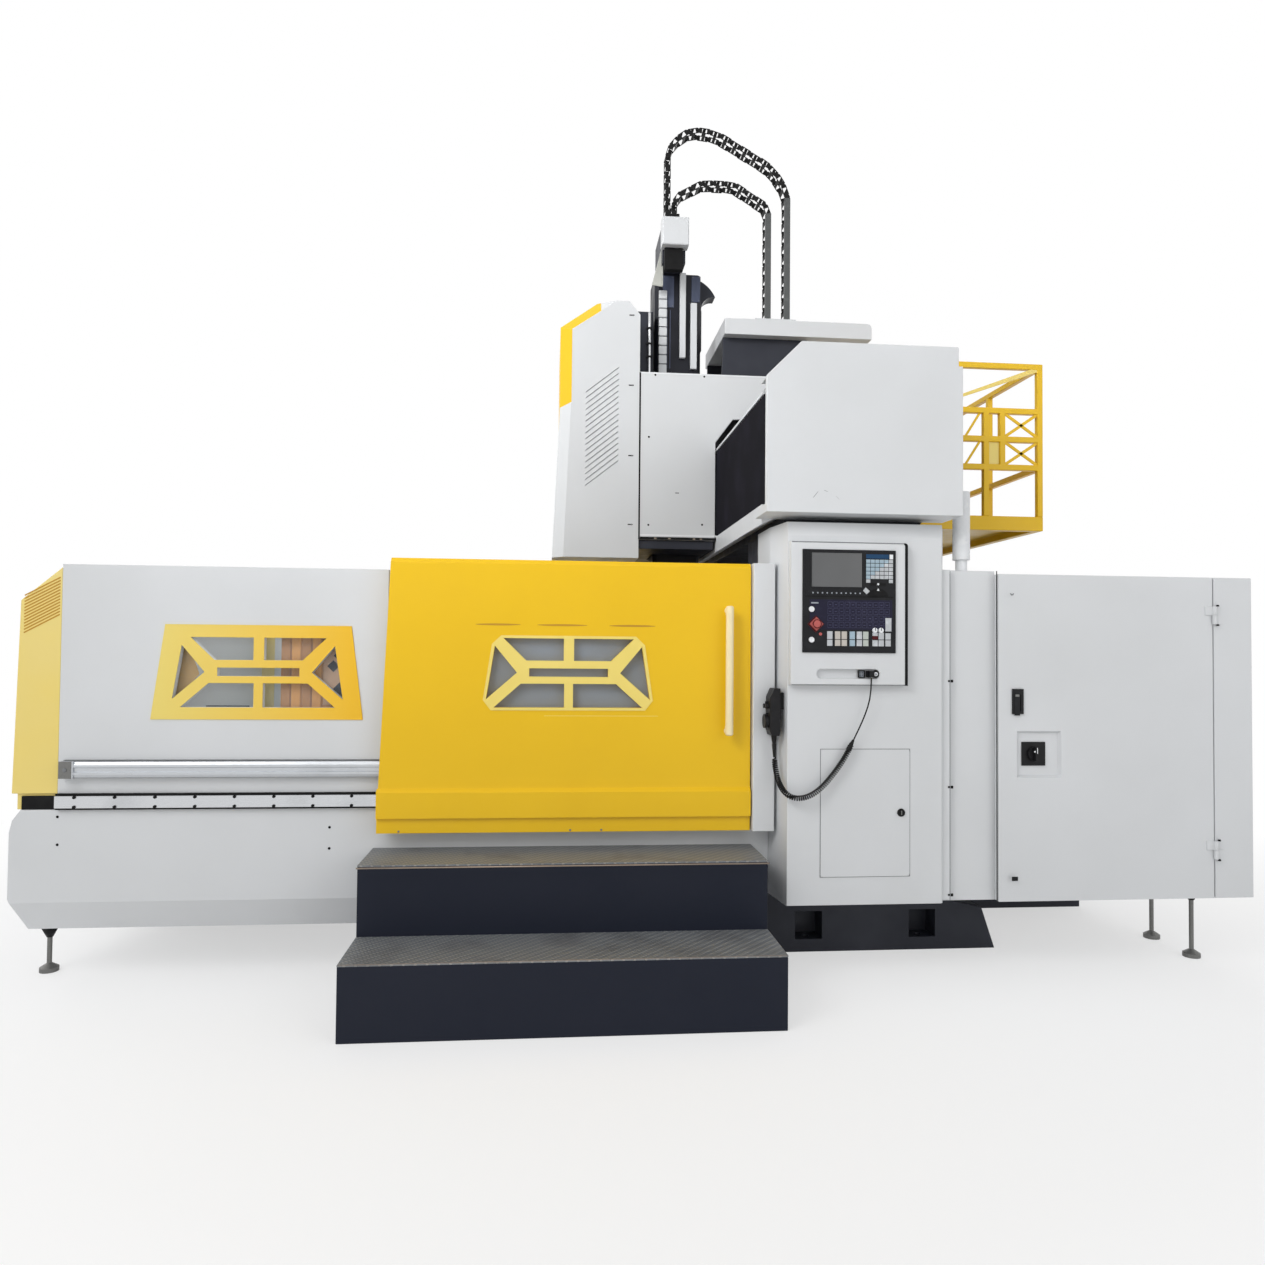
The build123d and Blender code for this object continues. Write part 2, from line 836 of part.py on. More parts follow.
def make_cabinet_fittings():
    """Flush handle and the isolator's plate, both on the cabinet door."""
    with BuildPart() as cabinet_fittings:
        block(handle_x0, handle_x0 + handle_width, cab_front_y - handle_proud, cab_front_y,
              handle_z0, handle_z0 + handle_height)
        rim = handle_rim
        top = handle_z0 + handle_height - 2 * rim
        block(handle_x0 + rim, handle_x0 + handle_width - rim, cab_front_y - handle_proud - 1,
              cab_front_y - handle_proud / 2, handle_z0 + rim, top, Mode.SUBTRACT)
        x = niche_x + plate_dx
        z = niche_z + plate_dz
        floor = cab_front_y + niche_depth
        block(x - plate_width / 2, x + plate_width / 2, floor - plate_thick, floor,
              z - plate_height / 2, z + plate_height / 2)
    return cabinet_fittings.part


def make_isolator_knob():
    with BuildPart() as isolator_knob:
        x = niche_x + plate_dx
        z = niche_z + plate_dz
        face = -(cab_front_y + niche_depth - plate_thick - slide_gap)
        with BuildSketch(Plane.XZ.offset(face)):
            with Locations((x, z)):
                Circle(knob_r)
        extrude(amount=knob_height)
        with BuildSketch(Plane.XZ.offset(face + knob_height)):
            with Locations((x, z)):
                SlotOverall(2 * knob_r + 6, grip_width, rotation=90)
        extrude(amount=grip_height)
    return isolator_knob.part


def make_conduit_pipe():
    """Upright cable tube with a nipple below and a stub into the beam's end cover."""
    with BuildPart() as conduit_pipe:
        foot = cab_z1 + duct_rise
        with BuildSketch(Plane.XY.offset(foot)):
            with Locations((tube_x, tube_y)):
                Circle(tube_nipple_r)
        extrude(amount=tube_nipple)
        with BuildSketch(Plane.XY.offset(foot + tube_nipple)):
            with Locations((tube_x, tube_y)):
                Circle(tube_r)
        extrude(amount=tube_z1 - foot - tube_nipple)
        with BuildSketch(Plane.YZ.offset(end_cover_x1)):
            with Locations((tube_y, tube_z1 - tube_r)):
                Circle(tube_nipple_r)
        extrude(amount=tube_x - end_cover_x1)
    return conduit_pipe.part


def make_platform_floor():
    """Floor plate with a deeper edge frame, fixed to the back of the beam."""
    with BuildPart() as platform_floor:
        z1 = deck_floor_z
        block(beam_back_x, plat_x1, -plat_half_y, plat_half_y, z1 - floor_edge, z1)
        frame = floor_frame
        block(beam_back_x + floor_root, plat_x1 - frame, -plat_half_y + frame, plat_half_y - frame,
              z1 - floor_edge - 1, z1 - floor_thick, Mode.SUBTRACT)
    return platform_floor.part


def make_platform_railing():
    """Posts and rails round the platform, with the barred bay at the near end."""
    with BuildPart() as platform_railing:
        x = plat_x1 - post_w
        run = 2 * plat_half_y - post_w
        for i in range(post_count):
            y = -plat_half_y + i * run / (post_count - 1)
            block(x, plat_x1, y, y + post_w, deck_floor_z, rail_top_z)
        x0 = rail_x0
        for z in (bay_bar_zs[0], rail_top_z - post_w):
            block(x, plat_x1, -plat_half_y, plat_half_y, z, z + post_w)
            block(x0, plat_x1, plat_half_y - post_w, plat_half_y, z, z + post_w)
        for y in (-plat_half_y, plat_half_y - post_w):
            block(x0, x0 + post_w, y, y + post_w, deck_floor_z, rail_top_z)
        y = -plat_half_y
        block(x0, plat_x1, y, y + post_w, rail_top_z - post_w, rail_top_z)
        for z in bay_bar_zs:
            block(x0, plat_x1, y, y + post_w, z, z + post_w)
        for bx in bay_post_xs:
            block(bx, bx + post_w, y, y + post_w, bay_bar_zs[0], bay_bar_zs[-1] + post_w)
        block(bay_post_xs[0], bay_post_xs[0] + post_w, y, y + post_w, deck_floor_z, bay_bar_zs[0])
    return platform_railing.part


def make_upper_guards():
    """Upper sheets of the guard, round the door opening and cut by the windows."""
    with BuildPart() as upper_guards:
        sill = lower_z1 + sill_height
        outline = [
            (guard_x0, lower_z1), (strip_x1, lower_z1), (strip_x1, upper_z1), (strip_x0, upper_z1),
            (strip_x0, sill), (open_x0, sill), (open_x0, upper_z1), (guard_x0, upper_z1),
        ]
        for side in (-1, 1):
            y0 = min(side * -guard_y, side * (-guard_y - sheet))
            side_profile(outline, y0, y0 + sheet)
            cut_window(left_window_x, left_window_z, y0, y0 + sheet)
    return upper_guards.part


def make_lower_guards():
    """Lower sheets with a slanted foot, rounded off at the free end, and their chip pans."""
    with BuildPart() as lower_guards:
        for side in (-1, 1):
            front = side * -guard_y
            back = front - side * sheet
            foot = front - side * lower_set_back
            section = [(front, lower_z1), (front, lower_bend_z), (foot, lower_z0),
                       (foot - side * sheet, lower_z0), (back, lower_bend_z), (back, lower_z1)]
            end_profile(section, lower_x0, strip_x1)
            inner = side * bed_half_width
            pan = foot - side * sheet / 2
            block(wall_x0 + wall_thick, strip_x1, min(inner, pan), max(inner, pan),
                  lower_z0, lower_z0 + sheet)
        y = -guard_y + 1
        corner = lower_corner
        top = [(lower_x0 - 1, lower_z1 - lower_corner_z), (lower_x0 + corner / 4, lower_z1 - corner),
               (lower_x0 + corner, lower_z1 + 1), (lower_x0 - 1, lower_z1 + 1)]
        low = [(lower_x0 - 1, lower_bend_z + 20), (lower_x0 + lower_foot_corner, lower_z0 - 1),
               (lower_x0 - 1, lower_z0 - 1)]
        side_profile(top, -y, y, Mode.SUBTRACT)
        side_profile(low, -y, y, Mode.SUBTRACT)
    return lower_guards.part


def make_end_wall():
    """Closes the guard at the free end of the table's travel."""
    with BuildPart() as end_wall:
        outer = -guard_y - sheet
        inner = outer - lower_set_back
        section = [(-inner, lower_z0), (inner, lower_z0), (outer, lower_bend_z), (outer, wall_z1),
                   (-outer, wall_z1), (-outer, lower_bend_z)]
        end_profile(section, wall_x0, wall_x0 + wall_thick)
    return end_wall.part


def make_end_panels():
    with BuildPart() as end_panels:
        top_x = end_panel_x0 + end_panel_lean
        outline = [(guard_x0, end_panel_z0), (end_panel_x0, end_panel_z0), (top_x, end_panel_z1),
                   (guard_x0, upper_z1 - end_panel_drop)]
        for side in (-1, 1):
            y0 = min(side * -guard_y, side * (-guard_y - sheet))
            side_profile(outline, y0, y0 + sheet)
            inner = min(side * (-guard_y - sheet), side * (-guard_y - 10))
            block(top_x, guard_x0, inner, inner + sheet - 10, lower_z1, end_panel_z0)
    return end_panels.part


def make_window_glass():
    with BuildPart() as window_glass:
        x = left_window_x
        z = left_window_z
        for side in (-1, 1):
            y = side * (-guard_y - sheet)
            y0 = min(y, y - side * glass_thick)
            block(x - glass_half_x, x + glass_half_x, y0, y0 + glass_thick,
                  z - glass_half_z, z + glass_half_z)
    return window_glass.part


def make_window_plate():
    """Raised plate round the left window of the operator side."""
    with BuildPart() as window_plate:
        corners = [(-plate_top_half, plate_half_z), (plate_top_half, plate_half_z),
                   (plate_low_half, -plate_half_z), (-plate_low_half, -plate_half_z)]
        outline = [(left_window_x + x, left_window_z + z) for x, z in corners]
        side_profile(outline, guard_y - plate_sheet, guard_y)
        cut_window(left_window_x, left_window_z, guard_y - plate_sheet, guard_y)
    return window_plate.part


def make_door_track():
    with BuildPart() as door_track:
        block(guard_x0, strip_x0 - leaf_gap, guard_y - track_proud, guard_y,
              track_z0, track_z0 + track_height)
        groove = track_groove
        for z in (track_z0 - 1, track_z0 + track_height + 1 - groove):
            block(guard_x0 - 1, strip_x0, guard_y - track_proud + groove, guard_y - groove + 2,
                  z, z + groove, Mode.SUBTRACT)
    return door_track.part


def make_door_cylinder():
    """Rodless cylinder that drives the door: a grooved profile with an end block."""
    with BuildPart() as door_cylinder:
        z0 = cyl_z0
        z1 = cyl_z0 + cyl_height
        y = guard_y - cyl_proud
        inner = y + cyl_groove
        edge = cyl_edge * 1.5
        lip = cyl_groove_z
        section = [(guard_y, z0), (y + cyl_edge, z0), (y, z0 + edge), (y, z0 + lip), (inner, z0 + lip + 3),
                   (inner, z1 - lip - 3), (y, z1 - lip), (y, z1 - edge), (y + cyl_edge, z1), (guard_y, z1)]
        end_profile(section, cyl_x0 + cyl_head, strip_x0 - cyl_head)
        for x in (cyl_x0, strip_x0 - cyl_head):
            block(x, x + cyl_head, y - 2, guard_y, z0 - 2, z1 + 2)
    return door_cylinder.part


def make_door_frame():
    with BuildPart() as door_frame:
        block(strip_x0, strip_x1, door_y0 - 10, guard_y, door_z0, door_z1)
        chamfer(door_frame.edges().filter_by(Axis.Z).sort_by(Axis.Y)[0:2], 3)
    return door_frame.part


def make_sliding_door():
    """Door leaf with its skirt, the set-back strip below it and two carriages."""
    with BuildPart() as sliding_door:
        x1 = strip_x0 - leaf_gap
        low_x = open_x0 - door_lean / 2
        top_x = open_x0 + door_lean / 2
        outline = [(low_x, door_strip_z), (x1, door_strip_z), (x1, door_z1), (top_x, door_z1)]
        side_profile(outline, door_face_y, door_y1)
        crease_z = door_z1 - door_crease
        back = door_face_y + door_crease_depth
        lean = [(door_face_y - 1, crease_z), (door_face_y, crease_z), (back, door_z1), (back, door_z1 + 1),
                (door_face_y - 1, door_z1 + 1)]
        end_profile(lean, low_x, x1 + 1, Mode.SUBTRACT)
        cut_window(window_x, window_z, door_face_y, door_y1)
        skirt = [(door_face_y, door_strip_z), (door_y0, door_strip_z), (door_y0, door_skirt_z - 16),
                 (door_face_y, door_skirt_z)]
        end_profile(skirt, low_x, x1)
        block(low_x, x1, door_face_y, door_y1, door_z0, door_strip_z)
        for x in (open_x0 + carriage_inset, x1 - carriage_inset - carriage_length / 2):
            block(x, x + carriage_length, door_y1, guard_y - track_proud - slide_gap,
                  track_z0 - carriage_lip, track_z0 + track_height + carriage_lip)
            for z in (track_z0 - carriage_lip, track_z0 + track_height + slide_gap):
                block(x, x + carriage_length, guard_y - track_proud - slide_gap - 1, guard_y - 10,
                      z, z + carriage_lip - slide_gap)
    return sliding_door.part


def make_door_handle():
    """Round bar on two stubs."""
    with BuildPart() as door_handle:
        y = door_face_y - grip_reach
        r = grip_bar / 2
        with BuildSketch(Plane.XY.offset(grip_z0)):
            with Locations((grip_x, y)):
                Circle(r)
        extrude(amount=grip_z1 - grip_z0)
        chamfer(door_handle.faces().filter_by(Axis.Z).edges(), r / 3)
        with BuildSketch(Plane.XZ.offset(-door_face_y)):
            with Locations((grip_x, grip_z0 + 2 * r), (grip_x, grip_z1 - 2 * r)):
                Circle(r * 0.6)
        extrude(amount=grip_reach)
    return door_handle.part


def make_door_glass():
    with BuildPart() as door_glass:
        block(window_x - glass_half_x, window_x + glass_half_x, door_y1, door_y1 + glass_thick,
              window_z - glass_half_z, window_z + glass_half_z)
    return door_glass.part


def make_far_door():
    """Door of the far side, closed."""
    with BuildPart() as far_door:
        y = -guard_y
        thick = door_y1 - door_y0
        low_x = open_x0 - door_lean / 2
        side_profile([(low_x, door_strip_z), (strip_x0, door_strip_z), (strip_x0, door_z1),
                      (open_x0 + door_lean / 2, door_z1)], y, y + thick)
        cut_window(window_x, window_z, y, y + thick)
        block(strip_x0, strip_x1, y, y + thick, door_z0, door_z1)
    return far_door.part


def make_rear_guard():
    """Low guard round the table's way out behind the portal."""
    with BuildPart() as rear_guard:
        x0 = column_half_x + rear_guard_gap
        x1 = bed_back_x + 2 * sheet
        half = rear_guard_half_y
        inner = half - sheet
        with BuildSketch(Plane.XY.offset(rear_guard_z0)):
            with BuildLine():
                Polyline((x0, -half), (x1, -half), (x1, half), (x0, half), (x0, bed_half_width),
                         (bed_back_x, bed_half_width), (bed_back_x, -bed_half_width), (x0, -bed_half_width),
                         close=True)
            make_face()
        extrude(amount=sheet)
        with BuildSketch(Plane.XY.offset(rear_guard_z0)):
            with BuildLine():
                Polyline((x0, -half), (x1, -half), (x1, half), (x0, half), (x0, inner),
                         (x1 - sheet, inner), (x1 - sheet, -inner), (x0, -inner), close=True)
            make_face()
        extrude(amount=rear_guard_z1 - rear_guard_z0)
    return rear_guard.part


def make_steps():
    with BuildPart() as steps:
        low = step_rise - tread_thick
        high = 2 * step_rise - tread_thick
        front = guard_y - 2 * step_depth
        middle = guard_y - step_depth
        end_profile([(front, 0), (guard_y, 0), (guard_y, high), (middle, high), (middle, low), (front, low)],
                    step_x0, step_x1)
    return steps.part


def make_step_treads():
    with BuildPart() as step_treads:
        for level in (1, 2):
            back = guard_y - (2 - level) * step_depth
            z1 = level * step_rise
            block(step_x0, step_x1, back - step_depth, back, z1 - tread_thick, z1)
    return step_treads.part


def make_levelling_feet():
    """Feet under the free end of the guard and under the cabinet."""
    with BuildPart() as levelling_feet:
        for side in (-1, 1):
            levelling_foot(guard_foot_x, side * guard_foot_y, lower_z0)
        for y in cab_foot_ys:
            levelling_foot(cab_foot_x, y, cab_z0)
    return levelling_feet.part


def make_saddle():
    """Saddle casting: tongue on the beam's rails, shaft of the ram, arm over the beam
    and the gussets that carry the chain deck."""
    with BuildPart() as saddle:
        tongue_x = beam_front_x - rail_height - slide_gap
        inset = 8
        outline = [
            (saddle_x0, saddle_z0), (saddle_x1, saddle_z0), (saddle_x1, bellows_z0 + inset),
            (tongue_x, bellows_z0 + inset), (tongue_x, bellows_z1 - inset), (saddle_x1, bellows_z1 - inset),
            (saddle_x1, arm_z0), (arm_x1, arm_z0), (arm_x1, saddle_z1), (saddle_x0, saddle_z1),
        ]
        side_profile(outline, -saddle_half_y, saddle_half_y)
        block(saddle_x0, guide_x1, -guide_half_y, guide_half_y, saddle_z1, guide_z1)
        gap = free_gap
        block(ram_x0 - gap, ram_x1 + gap, -ram_half_y - gap, ram_half_y + gap,
              saddle_z0 - 1, saddle_z1 + 1, Mode.SUBTRACT)
        wide = ram_half_y + duct_depth + gap
        block(ram_x0 - gap, ram_x1 + gap, -wide, wide, shaft_step_z, saddle_z1 + 1, Mode.SUBTRACT)
        block(ram_x1, hose_x1 + gap, -hose_slot_half, hose_slot_half,
              hose_slot_z, saddle_z1 + 1, Mode.SUBTRACT)
        middle = (ram_x0 + ram_x1) / 2
        for z in (saddle_z0, shaft_step_z - shoe_height):
            for y in (-ram_half_y - gap, ram_half_y + slide_gap):
                block(middle - shoe_half_width, middle + shoe_half_width, y, y + gap - slide_gap,
                      z, z + shoe_height)
        gusset = [(hose_x1, saddle_z1), (arm_x1, saddle_z1), (arm_x1, saddle_z1 + 110),
                  (arm_x1 + 60, deck_z0), (deck_x0, deck_z0), (deck_x0, deck_z0 - 80)]
        for y in (-deck_half_y + gusset_inset, deck_half_y - gusset_inset - gusset_thick):
            side_profile(gusset, y, y + gusset_thick)
    return saddle.part


def make_saddle_cover():
    """White sheets on both sides and over the arm of the saddle."""
    with BuildPart() as saddle_cover:
        top = saddle_z1 + cover_sheet
        outline = [(saddle_x0, side_z0), (side_x1, side_z0), (side_x1, strip_z1 + 4),
                   (side_x1 + 100, arm_z0 - 20), (arm_x1, arm_z0 - 20), (arm_x1, top), (saddle_x0, top)]
        for y in (-saddle_half_y - cover_sheet, saddle_half_y):
            side_profile(outline, y, y + cover_sheet)
        for side in (-1, 1):
            y0 = min(side * guide_half_y, side * saddle_half_y)
            block(saddle_x0, hose_x1, y0, y0 + saddle_half_y - guide_half_y, saddle_z1, top)
    return saddle_cover.part


def head_body():
    """Whole head housing: side outline with its front edges cut off."""
    with BuildPart() as body:
        outline = [
            (saddle_x0, head_z0), (head_foot_x, head_z0), (head_x0, head_waist_z),
            (head_x0, head_shoulder_z), (head_top_x, head_z1), (head_back_x, head_z1),
            (saddle_x0, head_z1 - head_back_drop),
        ]
        side_profile(outline, -head_half_y, head_half_y)
        ends = body.faces().filter_by(Axis.Y)
        front = ends.edges().filter_by_position(Axis.X, head_foot_x - 1, head_top_x - 20)
        front = front.filter_by_position(Axis.Z, head_z0 + 10, head_z1 - 10)
        chamfer(front, head_edge)
    return body.part


def head_band():
    """Side outline of the yellow front, above the waist."""
    step = head_edge + 3
    return [
        (head_foot_x - 1, head_waist_z), (head_x0 + step, head_waist_z + 30),
        (head_x0 + step, head_shoulder_z - 25), (head_top_x + 20, head_z1 - head_edge),
        (head_top_x + 20, head_z1 + 1), (head_foot_x - 1, head_z1 + 1),
    ]


def make_head_cover():
    with BuildPart() as head_cover:
        add(head_body())
        side_profile(head_band(), -head_half_y - 1, head_half_y + 1, Mode.SUBTRACT)
        dx = louvre_x1 - louvre_x0
        length = math.hypot(dx, louvre_rise)
        angle = math.degrees(math.atan2(louvre_rise, dx))
        cx = (louvre_x0 + louvre_x1) / 2
        cz = louvre_z0 + louvre_rise / 2 + (louvre_count - 1) / 2 * louvre_pitch
        for side in (-1, 1):
            with BuildSketch(Plane.XZ.offset(-side * head_half_y)) as slots:
                with Locations((cx, cz)):
                    with GridLocations(0, louvre_pitch, 1, louvre_count):
                        Rectangle(length, louvre_width, rotation=angle)
            extrude(slots.sketch, amount=side * louvre_depth, mode=Mode.SUBTRACT)
    return head_cover.part


def make_head_front():
    with BuildPart() as head_front:
        add(head_body())
        side_profile(head_band(), -head_half_y - 1, head_half_y + 1, Mode.INTERSECT)
    return head_front.part


def make_chain_deck():
    """Tray that the energy chains land on, with their foot block."""
    with BuildPart() as chain_deck:
        block(deck_x0, deck_x1, -deck_half_y, deck_half_y, deck_z0, deck_z1)
        far_edges = chain_deck.edges().filter_by(Axis.Y).sort_by(Axis.X)[-2:]
        fillet(far_edges.sort_by(Axis.Z)[-1], deck_corner)
        wall = deck_wall
        block(deck_x0 + wall, deck_x1 - 2 * wall, -deck_half_y + wall, deck_half_y - wall,
              deck_z0 + wall, deck_z1 + 1, Mode.SUBTRACT)
        block(inner_chain_x1 - 80, outer_chain_x1 + 50, chain_y - chain_foot_half, chain_y + chain_foot_half,
              deck_z0 + wall - 1, deck_z1 + chain_foot_height)
    return chain_deck.part


def make_ram():
    with BuildPart() as ram:
        block(ram_x0, ram_x1, -ram_half_y, ram_half_y, ram_z0, ram_z1)
        chamfer(ram.edges().filter_by(Axis.Z), ram_edge)
    return ram.part


def make_spindle_nose():
    with BuildPart() as spindle_nose:
        cx = (ram_x0 + ram_x1) / 2
        with BuildSketch(Plane.XZ):
            with BuildLine():
                Polyline((cx, ram_z0), (cx + nose_r, ram_z0), (cx + nose_r, ram_z0 - nose_length / 2),
                         (cx + nose_r - nose_step, ram_z0 - nose_length / 2 - nose_step),
                         (cx + nose_r - nose_step, ram_z0 - nose_length), (cx, ram_z0 - nose_length),
                         close=True)
            make_face()
        revolve(axis=Axis((cx, 0, 0), (0, 0, 1)))
    return spindle_nose.part


def make_ram_mast():
    """Mast on the ram that holds the chains' upper ends, with a bent hose guide beside it."""
    with BuildPart() as ram_mast:
        block(mast_x0, mast_x1, mast_y0, ram_half_y - 60, ram_z1, mast_z1)
        out_x = ram_x1 + hose_neck
        tip_z = hose_tip_z
        root_z = ram_z1 - hose_tail
        with BuildSketch(Plane.XZ):
            with BuildLine():
                Polyline((ram_x1, root_z), (ram_x1, ram_z1), (mast_x1, ram_z1), (mast_x1, ram_z1 + 20))
                ThreePointArc((mast_x1, ram_z1 + 20), (ram_x1, ram_z1 + 6), (hose_x1, tip_z))
                ThreePointArc((hose_x1, tip_z), (out_x + 18, tip_z - 25), (out_x, tip_z - 95))
                Polyline((out_x, tip_z - 95), (out_x, root_z + 10), (ram_x1, root_z))
            make_face()
        extrude(amount=hose_half, both=True)
    return ram_mast.part


def make_ram_ducts():
    """Junction box and the white cable ducts on the ram's near face."""
    with BuildPart() as ram_ducts:
        x0 = mast_x0 - box_proud
        block(x0, x0 + box_width, mast_y0 - box_depth, mast_y0, mast_z1 - box_height, mast_z1)
        chamfer(ram_ducts.faces().sort_by(Axis.Y)[0].edges(), 5)
        face = -ram_half_y
        front = face - duct_depth
        block(cable_duct_x0, cable_duct_x0 + cable_duct_width, front, face, cable_duct_z0, ram_z1)
        block(side_duct_x0, side_duct_x0 + side_duct_width, front, face, side_duct_z0, side_duct_z1)
        for i in range(rack_count):
            z = rack_z0 + i * rack_pitch
            block(rack_x0, rack_x0 + rack_width, front, face, z, z + rack_block)
        block(rack_x0 + rack_inset, rack_x0 + rack_width - rack_inset, face - rack_spine, face,
              rack_z0, rack_z0 + rack_count * rack_pitch)
    return ram_ducts.part


def link_plate_outline():
    """Outline of a link's side plate about the middle of the link."""
    reach = link_pitch / 2 + link_overlap
    half = chain_depth / 2
    return [(-reach, 0), (-reach + half, -half), (reach - half, -half), (reach, 0),
            (reach - half, half), (-reach + half, half)]


def make_link(inner):
    """One link: two side plates with a window each, joined by two cross bars."""
    with BuildPart() as link:
        edge = chain_width / 2 - (link_plate + link_gap if inner else 0)
        with BuildSketch(Plane.XY.offset(edge - link_plate), Plane.XY.offset(-edge)):
            with BuildLine():
                Polyline(*link_plate_outline(), close=True)
            make_face()
            Rectangle(link_window_length, link_window, mode=Mode.SUBTRACT)
        extrude(amount=link_plate)
        for side in (-1, 1):
            with Locations((0, side * (chain_depth - bar_thick) / 2, 0)):
                Box(link_bar, bar_thick, 2 * (edge - link_plate + 1))
    return link.part


def make_chain(points, *wanted):
    """Energy chain: wide and narrow links in turn, along a filleted route."""
    with BuildLine(Plane.XZ.offset(-chain_y)) as route:
        FilletPolyline(*points, radius=corner_radii(points, *wanted))
    path = route.wires()[0]
    first = link_pitch / 2 + link_overlap + chain_end_gap
    count = round((path.length - 2 * first) / link_pitch) + 1
    step = (path.length - 2 * first) / (count - 1)
    places = [[], []]
    for i in range(count):
        at = (first + i * step) / path.length
        spot = Plane(origin=path @ at, x_dir=path % at, z_dir=(0, -1, 0))
        places[i % 2].append(Location(spot))
    wide = make_link(False)
    narrow = make_link(True)
    with BuildPart() as chain:
        with Locations(*places[0]):
            add(wide)
        with Locations(*places[1]):
            add(narrow)
    return chain.part


def make_chain_outer():
    x0 = outer_chain_x0
    x1 = outer_chain_x1
    top = outer_chain_z1
    points = [(x0, mast_z1), (x0, top - 110), (x0 + 130, top + 5), (x0 + 290, top - 10),
              (x1 - 94, top - 200), (x1, top - 340), (x1, deck_z1 + chain_foot_height)]
    return make_chain(points, 170, 165, 330, 300, 240)


def make_chain_inner():
    x0 = inner_chain_x0
    x1 = inner_chain_x1
    top = inner_chain_z1
    points = [(x0, mast_z1), (x0, top - 95), (x0 + 170, top), (x1 - 207, top), (x1, top - 125),
              (x1, deck_z1 + chain_foot_height)]
    return make_chain(points, 110, 160, 160, 100)


def corner_radii(points, *wanted):
    """Wanted radius of each corner, held to 0.45 of the shorter run beside it."""
    radii = []
    spots = [Vector(*point) for point in points]
    for before, corner, after, radius in zip(spots, spots[1:], spots[2:], wanted):
        into = corner - before
        out = after - corner
        half_turn = math.radians(into.get_angle(out)) / 2
        largest = 0.45 * min(into.length, out.length) / math.tan(half_turn)
        radii.append(round(min(radius, largest), 1))
    return radii


def make_cord(points, radius):
    """Round cord along straight runs joined by tangent arcs."""
    radii = corner_radii(points, *[1000] * (len(points) - 2))
    print("cord radii", radii)
    with BuildPart() as cord:
        with BuildLine() as route:
            FilletPolyline(*points, radius=radii)
        path = route.wires()[0]
        with BuildSketch(Plane(origin=path @ 0, z_dir=path % 0)):
            Circle(radius)
        sweep(path=path)
    return cord.part


def cover_side_at(y):
    """X of the operator housing's splayed side at a given Y."""
    share = (y - cover_front_y) / (guard_y - cover_front_y)
    return -cover_half_x + share * (cover_side_x + cover_half_x)


def make_pendant():
    """Handwheel pendant hung by a hook on the side of the operator housing."""
    with BuildPart() as pendant:
        x0 = pendant_x - pendant_thick / 2
        x1 = pendant_x + pendant_thick / 2
        y0 = pendant_y - pendant_width / 2
        y1 = pendant_y + pendant_width / 2
        outline = [(x0, pendant_z0 + 20), (x0 + 8, pendant_z0), (x1 - 6, pendant_z0), (x1, pendant_z0 + 20),
                   (x1, pendant_z1), (x0 + 18, pendant_z1), (x0, pendant_z1 - 40)]
        side_profile(outline, y0, y1)
        chamfer(pendant.edges().filter_by(Axis.Z), pendant_edge)
        with BuildSketch(Plane.XY.offset(pendant_z0)):
            with Locations((gland_x, pendant_y)):
                Circle(gland_r)
        extrude(amount=-gland_drop, taper=9)
        with BuildSketch(Plane.YZ.offset(x0)):
            with Locations((pendant_y, pendant_z0 + wheel_dz)):
                Circle(wheel_r)
        extrude(amount=-wheel_proud)
        with BuildSketch(Plane.YZ.offset(x0)):
            with Locations([(pendant_y + side * selector_dy, pendant_z0 + selector_dz) for side in (-1, 1)]):
                Circle(selector_r)
        extrude(amount=-selector_proud)
        y0 = pendant_y - hook_half
        y1 = pendant_y + hook_half
        with BuildSketch(Plane.XY.offset(pendant_z1 - hook_dz)):
            with BuildLine():
                Polyline((x1 - 2, y0), (cover_side_at(y0), y0), (cover_side_at(y1), y1), (x1 - 2, y1),
                         close=True)
            make_face()
        extrude(amount=hook_length)
    return pendant.part


def make_pendant_cord():
    points = [
        (gland_x, pendant_y, pendant_z0 - gland_drop), (gland_x, pendant_y, 905),
        (-360, cover_front_y - 50, 800), (-240, cover_front_y - 42, 806), (-118, lead_y, 941), lead_start,
    ]
    return make_cord(points, cord_r)


def make_pendant_lead():
    plug_x = plug_x1 - plug_length / 2
    plug_y = cover_front_y - panel_depth - plug_proud / 2
    points = [
        lead_start, (-18, lead_y, 1141), (plug_x, plug_y, 1235), (plug_x, plug_y, socket_z - plug_half_z),
    ]
    return make_cord(points, lead_r)


